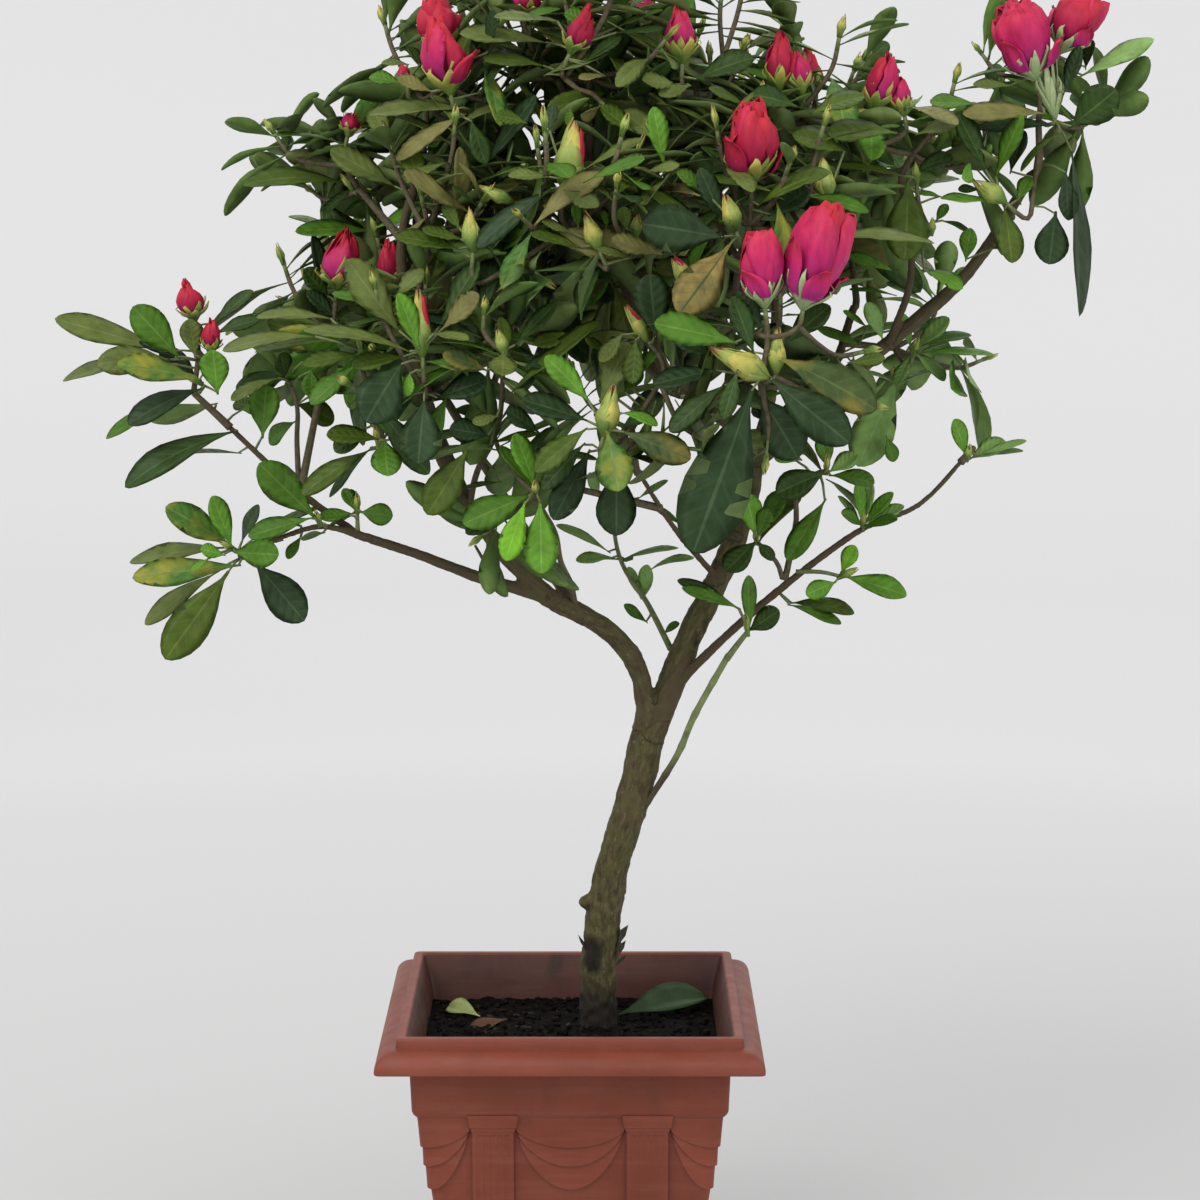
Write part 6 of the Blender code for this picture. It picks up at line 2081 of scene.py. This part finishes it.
twig_tree = KDTree(len(twig_places))
for number, place in enumerate(twig_places):
    twig_tree.insert(place, number)
twig_tree.balance()
placed_chance = random.Random(SEED * 5)
for name, rows in PLACED.items():
    for *ends, width, face, droop, tone in rows:
        root = Vector(ends[:3])
        seat, _, gap = twig_tree.find(root)
        for slip, reach in PLACED_TRIES:
            tip = root.lerp(Vector(ends[3:]), reach) + Vector((0, slip, 0))
            ahead = tip - root
            chord = ahead.length
            ahead.normalize()
            toward = Vector((0, -1, 0.15))
            toward = (toward - ahead * toward.dot(ahead)).normalized()
            rise = ahead.cross(toward)
            if rise.z < 0:
                rise = -rise
            up = toward * face + rise * math.sqrt(1.0 - face * face)
            bow = math.radians(droop)
            along = ahead * math.cos(bow * 0.575) + up * math.sin(bow * 0.575)
            blade = leaf_blade(
                root,
                along,
                up,
                chord * (1.0 + bow * bow * 0.03),
                width,
                bow,
                placed_chance.uniform(0.04, 0.2),
                math.radians(placed_chance.uniform(-12, 12)),
                placed_chance.uniform(-0.03, 0.03),
                placed_chance,
            )
            body = blade_proxy(blade[0])
            if inside_box(blade[0]) and not crowd.meets(body):
                break
        if not inside_box(blade[0]):
            continue
        crowd.add(body)
        note_seen(blade[0])
        add_leaf(leaf_heaps[group_of[name]], blade, tone)
        if 1.0 < gap < 24.0:
            line = [seat, seat.lerp(root, 0.5) + Vector((0, 0, 0.6)), root + along * 1.2]
            twigs.add(*tube(line, [0.7, 0.6, 0.5], 4), 1)

for mass, tip, way, kind, _, _, wanted, waiting, chance in shoots:
    heap = leaf_heaps[group_of[mass.name]]
    grown = 0
    tone = tone_for(mass, chance)
    side = way.orthogonal().normalized()
    over = way.cross(side)
    turn = chance.uniform(0, math.tau)
    for k in range(wanted):
        turn += GOLDEN_ANGLE
        share = k / max(1, wanted - 1)
        length = chance.uniform(*LEAF_LENGTH) * (1.0 - 0.30 * share)
        lift = math.radians(LEAF_LIFT[0] + (LEAF_LIFT[1] - LEAF_LIFT[0]) * share + chance.uniform(-9, 9))
        seat = tip - way * (2.0 + LEAF_SPACING * (wanted - 1 - k))
        own = tone if chance.random() < 0.6 else tone_for(mass, chance)
        slender = chance.uniform(0.28, 0.38)
        droop = math.radians(chance.uniform(12, 44))
        fold = chance.uniform(0.05, 0.28)
        twist = math.radians(chance.uniform(-22, 22))
        bend = chance.uniform(-0.07, 0.07)
        for size, change in LEAF_TRIES:
            angle = turn + math.radians(change)
            away = side * math.cos(angle) + over * math.sin(angle)
            along = away * math.cos(lift) + way * math.sin(lift)
            up = way * math.cos(lift) - away * math.sin(lift)
            long = length * size
            root = seat + away * 0.7
            blade = leaf_blade(root, along, up, long, long * slender, droop, fold, twist, bend, chance)
            body = blade_proxy(blade[0])
            if not inside_box(blade[0]) or closes_gap(body[0]):
                continue
            if hides_known(blade[0]) or crowd.meets(body):
                continue
            crowd.add(body)
            add_leaf(heap, blade, own)
            grown += 1
            break
    if waiting:
        if grown < FEWEST_LEAVES:
            continue
        add_shoot_twig(waiting)
    if kind == "leafy":
        add_scales(tip, way, chance.uniform(6.0, 10.0), chance.uniform(1.4, 2.1), 2, False, chance)

spray_twigs = twigs.lay("spray_twigs", twig_finishes)
settle(spray_twigs, [])
bud_scales = scales.lay(
    "bud_scales",
    [
        scale_finish("scale_green", (0.120, 0.210, 0.028), (0.330, 0.390, 0.080), (0.360, 0.180, 0.060)),
        scale_finish("scale_yellow", (0.210, 0.280, 0.045), (0.520, 0.460, 0.095), (0.400, 0.200, 0.060)),
        scale_finish("scale_pale", (0.290, 0.390, 0.170), (0.400, 0.480, 0.250), (0.500, 0.540, 0.340)),
    ],
)
settle(bud_scales, [])


def vein_lines(skin):
    """The side veins of a blade, 0 on a vein: slanting lines that leave the midrib forward."""

    def step(way, first, second, third=0.0):
        made = skin.nodes.new("ShaderNodeMath")
        made.operation = way
        for value, socket in zip((first, second, third), made.inputs):
            if isinstance(value, bpy.types.NodeSocket):
                skin.links.new(value, socket)
            else:
                socket.default_value = value
        return made.outputs["Value"]

    spot = skin.on_blade()
    aside = step("ABSOLUTE", step("SUBTRACT", spot["X"], 0.5), 0.0)
    slant = step("MULTIPLY_ADD", aside, -0.42, spot["Y"])
    waver = step("MULTIPLY_ADD", skin.grain(70.0, 2.0), 0.06, slant)
    return step("PINGPONG", step("MULTIPLY", waver, 7.0), 0.5)


def leaf_finish(name, colour, rough, second=None, veins=None):
    """Leathery leaf skin, mottled, with paler side veins pressed in along the blade."""
    skin = Finish(name, rough, Specular_IOR_Level=0.16)
    mottle = skin.grain(130.0, 5.0)
    light = tuple(min(1.0, c * 1.28 + 0.005) for c in colour)
    dark = tuple(c * 0.74 for c in colour)
    body = skin.ramp(mottle, ((0.28, dark), (0.72, light)))
    if second:
        body = skin.over(body, second, skin.grain(62.0, 5.0), 0.46, 0.66, 0.95)
    if veins:
        lines = vein_lines(skin)
        body = skin.mix(skin.ramp(lines, ((0.0, 0.34), (0.16, 0.0))), body, veins)
        body = skin.over(body, light, skin.grain(900.0, 2.0), 0.60, 0.75, 0.22)
        skin.relief(lines, 0.5, 0.7)
    skin.colour(body)
    skin.relief(skin.grain(900.0, 3.0), 0.12, 0.6)
    return skin.material


UNDER_GREEN = (0.140, 0.200, 0.065)
leaf_finishes = []
for tone, (top, rib, second) in TONES.items():
    under = tuple(0.45 * a + 0.55 * b for a, b in zip(top, UNDER_GREEN))
    leaf_finishes.append(leaf_finish("leaf_" + tone, top, 0.46, second, veins=rib))
    leaf_finishes.append(leaf_finish("rib_" + tone, rib, 0.55))
    leaf_finishes.append(leaf_finish("under_" + tone, under, 0.68))
for group, names in LEAF_GROUPS.items():
    leaves = leaf_heaps[group].lay(group, leaf_finishes)
    settle(leaves, ["foliage_" + name for name in names])

# Fallen leaves: three of the azalea's own leaves that lie on the soil, one long and curled.
# For each: its place, which way it lies, which way it faces, its length, width, droop and tone
FALLEN = (
    ((21.0, 27.0), (44.0, 14.0, 13.0), (0.15, -0.8, 0.6), 49.0, 17.0, 0.50, 0),
    ((-43.0, 28.0), (-16.0, 16.0, 1.5), (0.0, -0.3, 1.0), 24.0, 10.0, 0.15, 1),
    ((-30.0, 22.0), (-14.0, -8.0, 0.5), (0.1, -0.2, 1.0), 20.0, 8.0, 0.5, 2),
)
FALLEN_TONES = ((0.038, 0.072, 0.028), (0.260, 0.300, 0.110), (0.095, 0.045, 0.022))
fallen = Heap()
FALLEN_SEED = 5
fall_chance = random.Random(FALLEN_SEED)
for (x, y), way, up, length, width, droop, tone in FALLEN:
    root = on_soil(x, y, 1.6)
    along = Vector(way).normalized()
    facing = Vector(up).normalized()
    points, faces, kinds, spots = leaf_blade(
        root, along, facing, length, width, droop, 0.5, 0.5, 0.06, fall_chance
    )
    fallen.add(points, faces, [tone * 3 + face_kind for face_kind in kinds], spots)
fallen_finishes = []
for number, tone in enumerate(FALLEN_TONES):
    for part in ("top", "rib", "under"):
        fallen_finishes.append(leaf_finish("fallen_%s_%d" % (part, number), tone, 0.6))
fallen_leaves = fallen.lay("fallen_leaves", fallen_finishes)
settle(fallen_leaves, [])

# Studio: a pale seamless bowl in place of the wall behind the plant, a large soft light from the
# upper left, weaker ones from the right and from behind, and the pale sky. Far from the plant the
# paper is less white and glows more, so that it looks even. BOWL holds radii and heights in m.
BOWL = ((2.3, 0.0), (2.6, 0.03), (2.85, 0.14), (3.0, 0.34), (3.08, 0.62), (3.12, 1.1), (3.14, 2.6))
PAPER_GREY = (
    (0.0, (0.30, 0.30, 0.30)),
    (0.40, (0.58, 0.58, 0.586)),
    (0.66, (0.61, 0.61, 0.616)),
    (0.92, (0.32, 0.32, 0.324)),
)
PAPER_GLOW = ((0.0, 0.275), (0.34, 0.105), (0.48, 0.09), (0.66, 0.115), (0.92, 0.47))
PAPER_SCALE = 0.3
LIGHTS_AIM = Vector((0.02, 0.0, 0.33))
bpy.ops.object.select_all(action="DESELECT")
bpy.ops.mesh.primitive_circle_add(vertices=96, radius=BOWL[0][0], fill_type="NGON")
bowl = open_piece("studio_bowl")
bpy.ops.mesh.select_mode(type="EDGE")
bpy.ops.object.mode_set(mode="OBJECT")
for face in bowl.data.polygons:
    face.select = False
for edge in bowl.data.edges:
    edge.select = True
bpy.ops.object.mode_set(mode="EDIT")
for (radius, height), (next_radius, next_height) in zip(BOWL, BOWL[1:]):
    bpy.ops.mesh.extrude_edges_move(TRANSFORM_OT_translate={"value": (0, 0, next_height - height)})
    share = next_radius / radius
    bpy.ops.transform.resize(value=(share, share, 1), center_override=(0, 0, next_height))
bpy.ops.mesh.select_all(action="SELECT")
bpy.ops.mesh.normals_make_consistent(inside=True)
bpy.ops.object.mode_set(mode="OBJECT")
bpy.ops.object.shade_smooth()
paper = Finish("studio_paper", 0.95, Specular_IOR_Level=0.0)
place = paper.nodes.new("ShaderNodeVectorMath")
place.operation = "LENGTH"
paper.links.new(paper.coordinates((PAPER_SCALE, PAPER_SCALE, PAPER_SCALE)), place.inputs[0])
far = place.outputs["Value"]
paper.colour(paper.ramp(far, PAPER_GREY))
paper.shader.inputs["Emission Color"].default_value = (1.0, 1.0, 1.0, 1.0)
paper.links.new(paper.ramp(far, PAPER_GLOW), paper.shader.inputs["Emission Strength"])
bowl.data.materials.append(paper.material)

sky = bpy.data.worlds.new("studio_sky")
sky.use_nodes = True
background = sky.node_tree.nodes["Background"]
background.inputs["Color"].default_value = (1.0, 0.995, 0.985, 1.0)
background.inputs["Strength"].default_value = 0.80
bpy.context.scene.world = sky


def soft_light(name, place, size, power, colour):
    """A large square light that faces the crown."""
    lamp = bpy.data.lights.new(name, "AREA")
    lamp.shape = "SQUARE"
    lamp.size = size
    lamp.energy = power
    lamp.color = colour
    made = bpy.data.objects.new(name, lamp)
    made.location = place
    made.rotation_euler = (LIGHTS_AIM - Vector(place)).to_track_quat("-Z", "Y").to_euler()
    bpy.context.scene.collection.objects.link(made)


soft_light("window_light", (-1.1, -1.4, 2.1), 1.6, 40.0, (1.0, 0.995, 0.98))
soft_light("fill_light", (1.7, -1.3, 1.0), 1.6, 12.0, (0.98, 0.99, 1.0))
soft_light("back_light", (0.3, 1.9, 1.9), 1.6, 10.0, (1.0, 1.0, 1.0))
bpy.context.scene.view_settings.view_transform = "Standard"

# Camera: at the height of the crown's upper part, 1.46 m away and tipped a little down.
CAMERA_AT = (0.0131, -1.4638, 0.5505)
CAMERA_TIP = 81.5
CAMERA_LENS = 98.76
CAMERA_FILM = 36.0
lens = bpy.data.cameras.new("photo_camera")
lens.sensor_width = CAMERA_FILM
lens.lens = CAMERA_LENS
camera = bpy.data.objects.new("photo_camera", lens)
camera.location = CAMERA_AT
camera.rotation_euler = (math.radians(CAMERA_TIP), 0.0, 0.0)
bpy.context.scene.collection.objects.link(camera)
bpy.context.scene.camera = camera
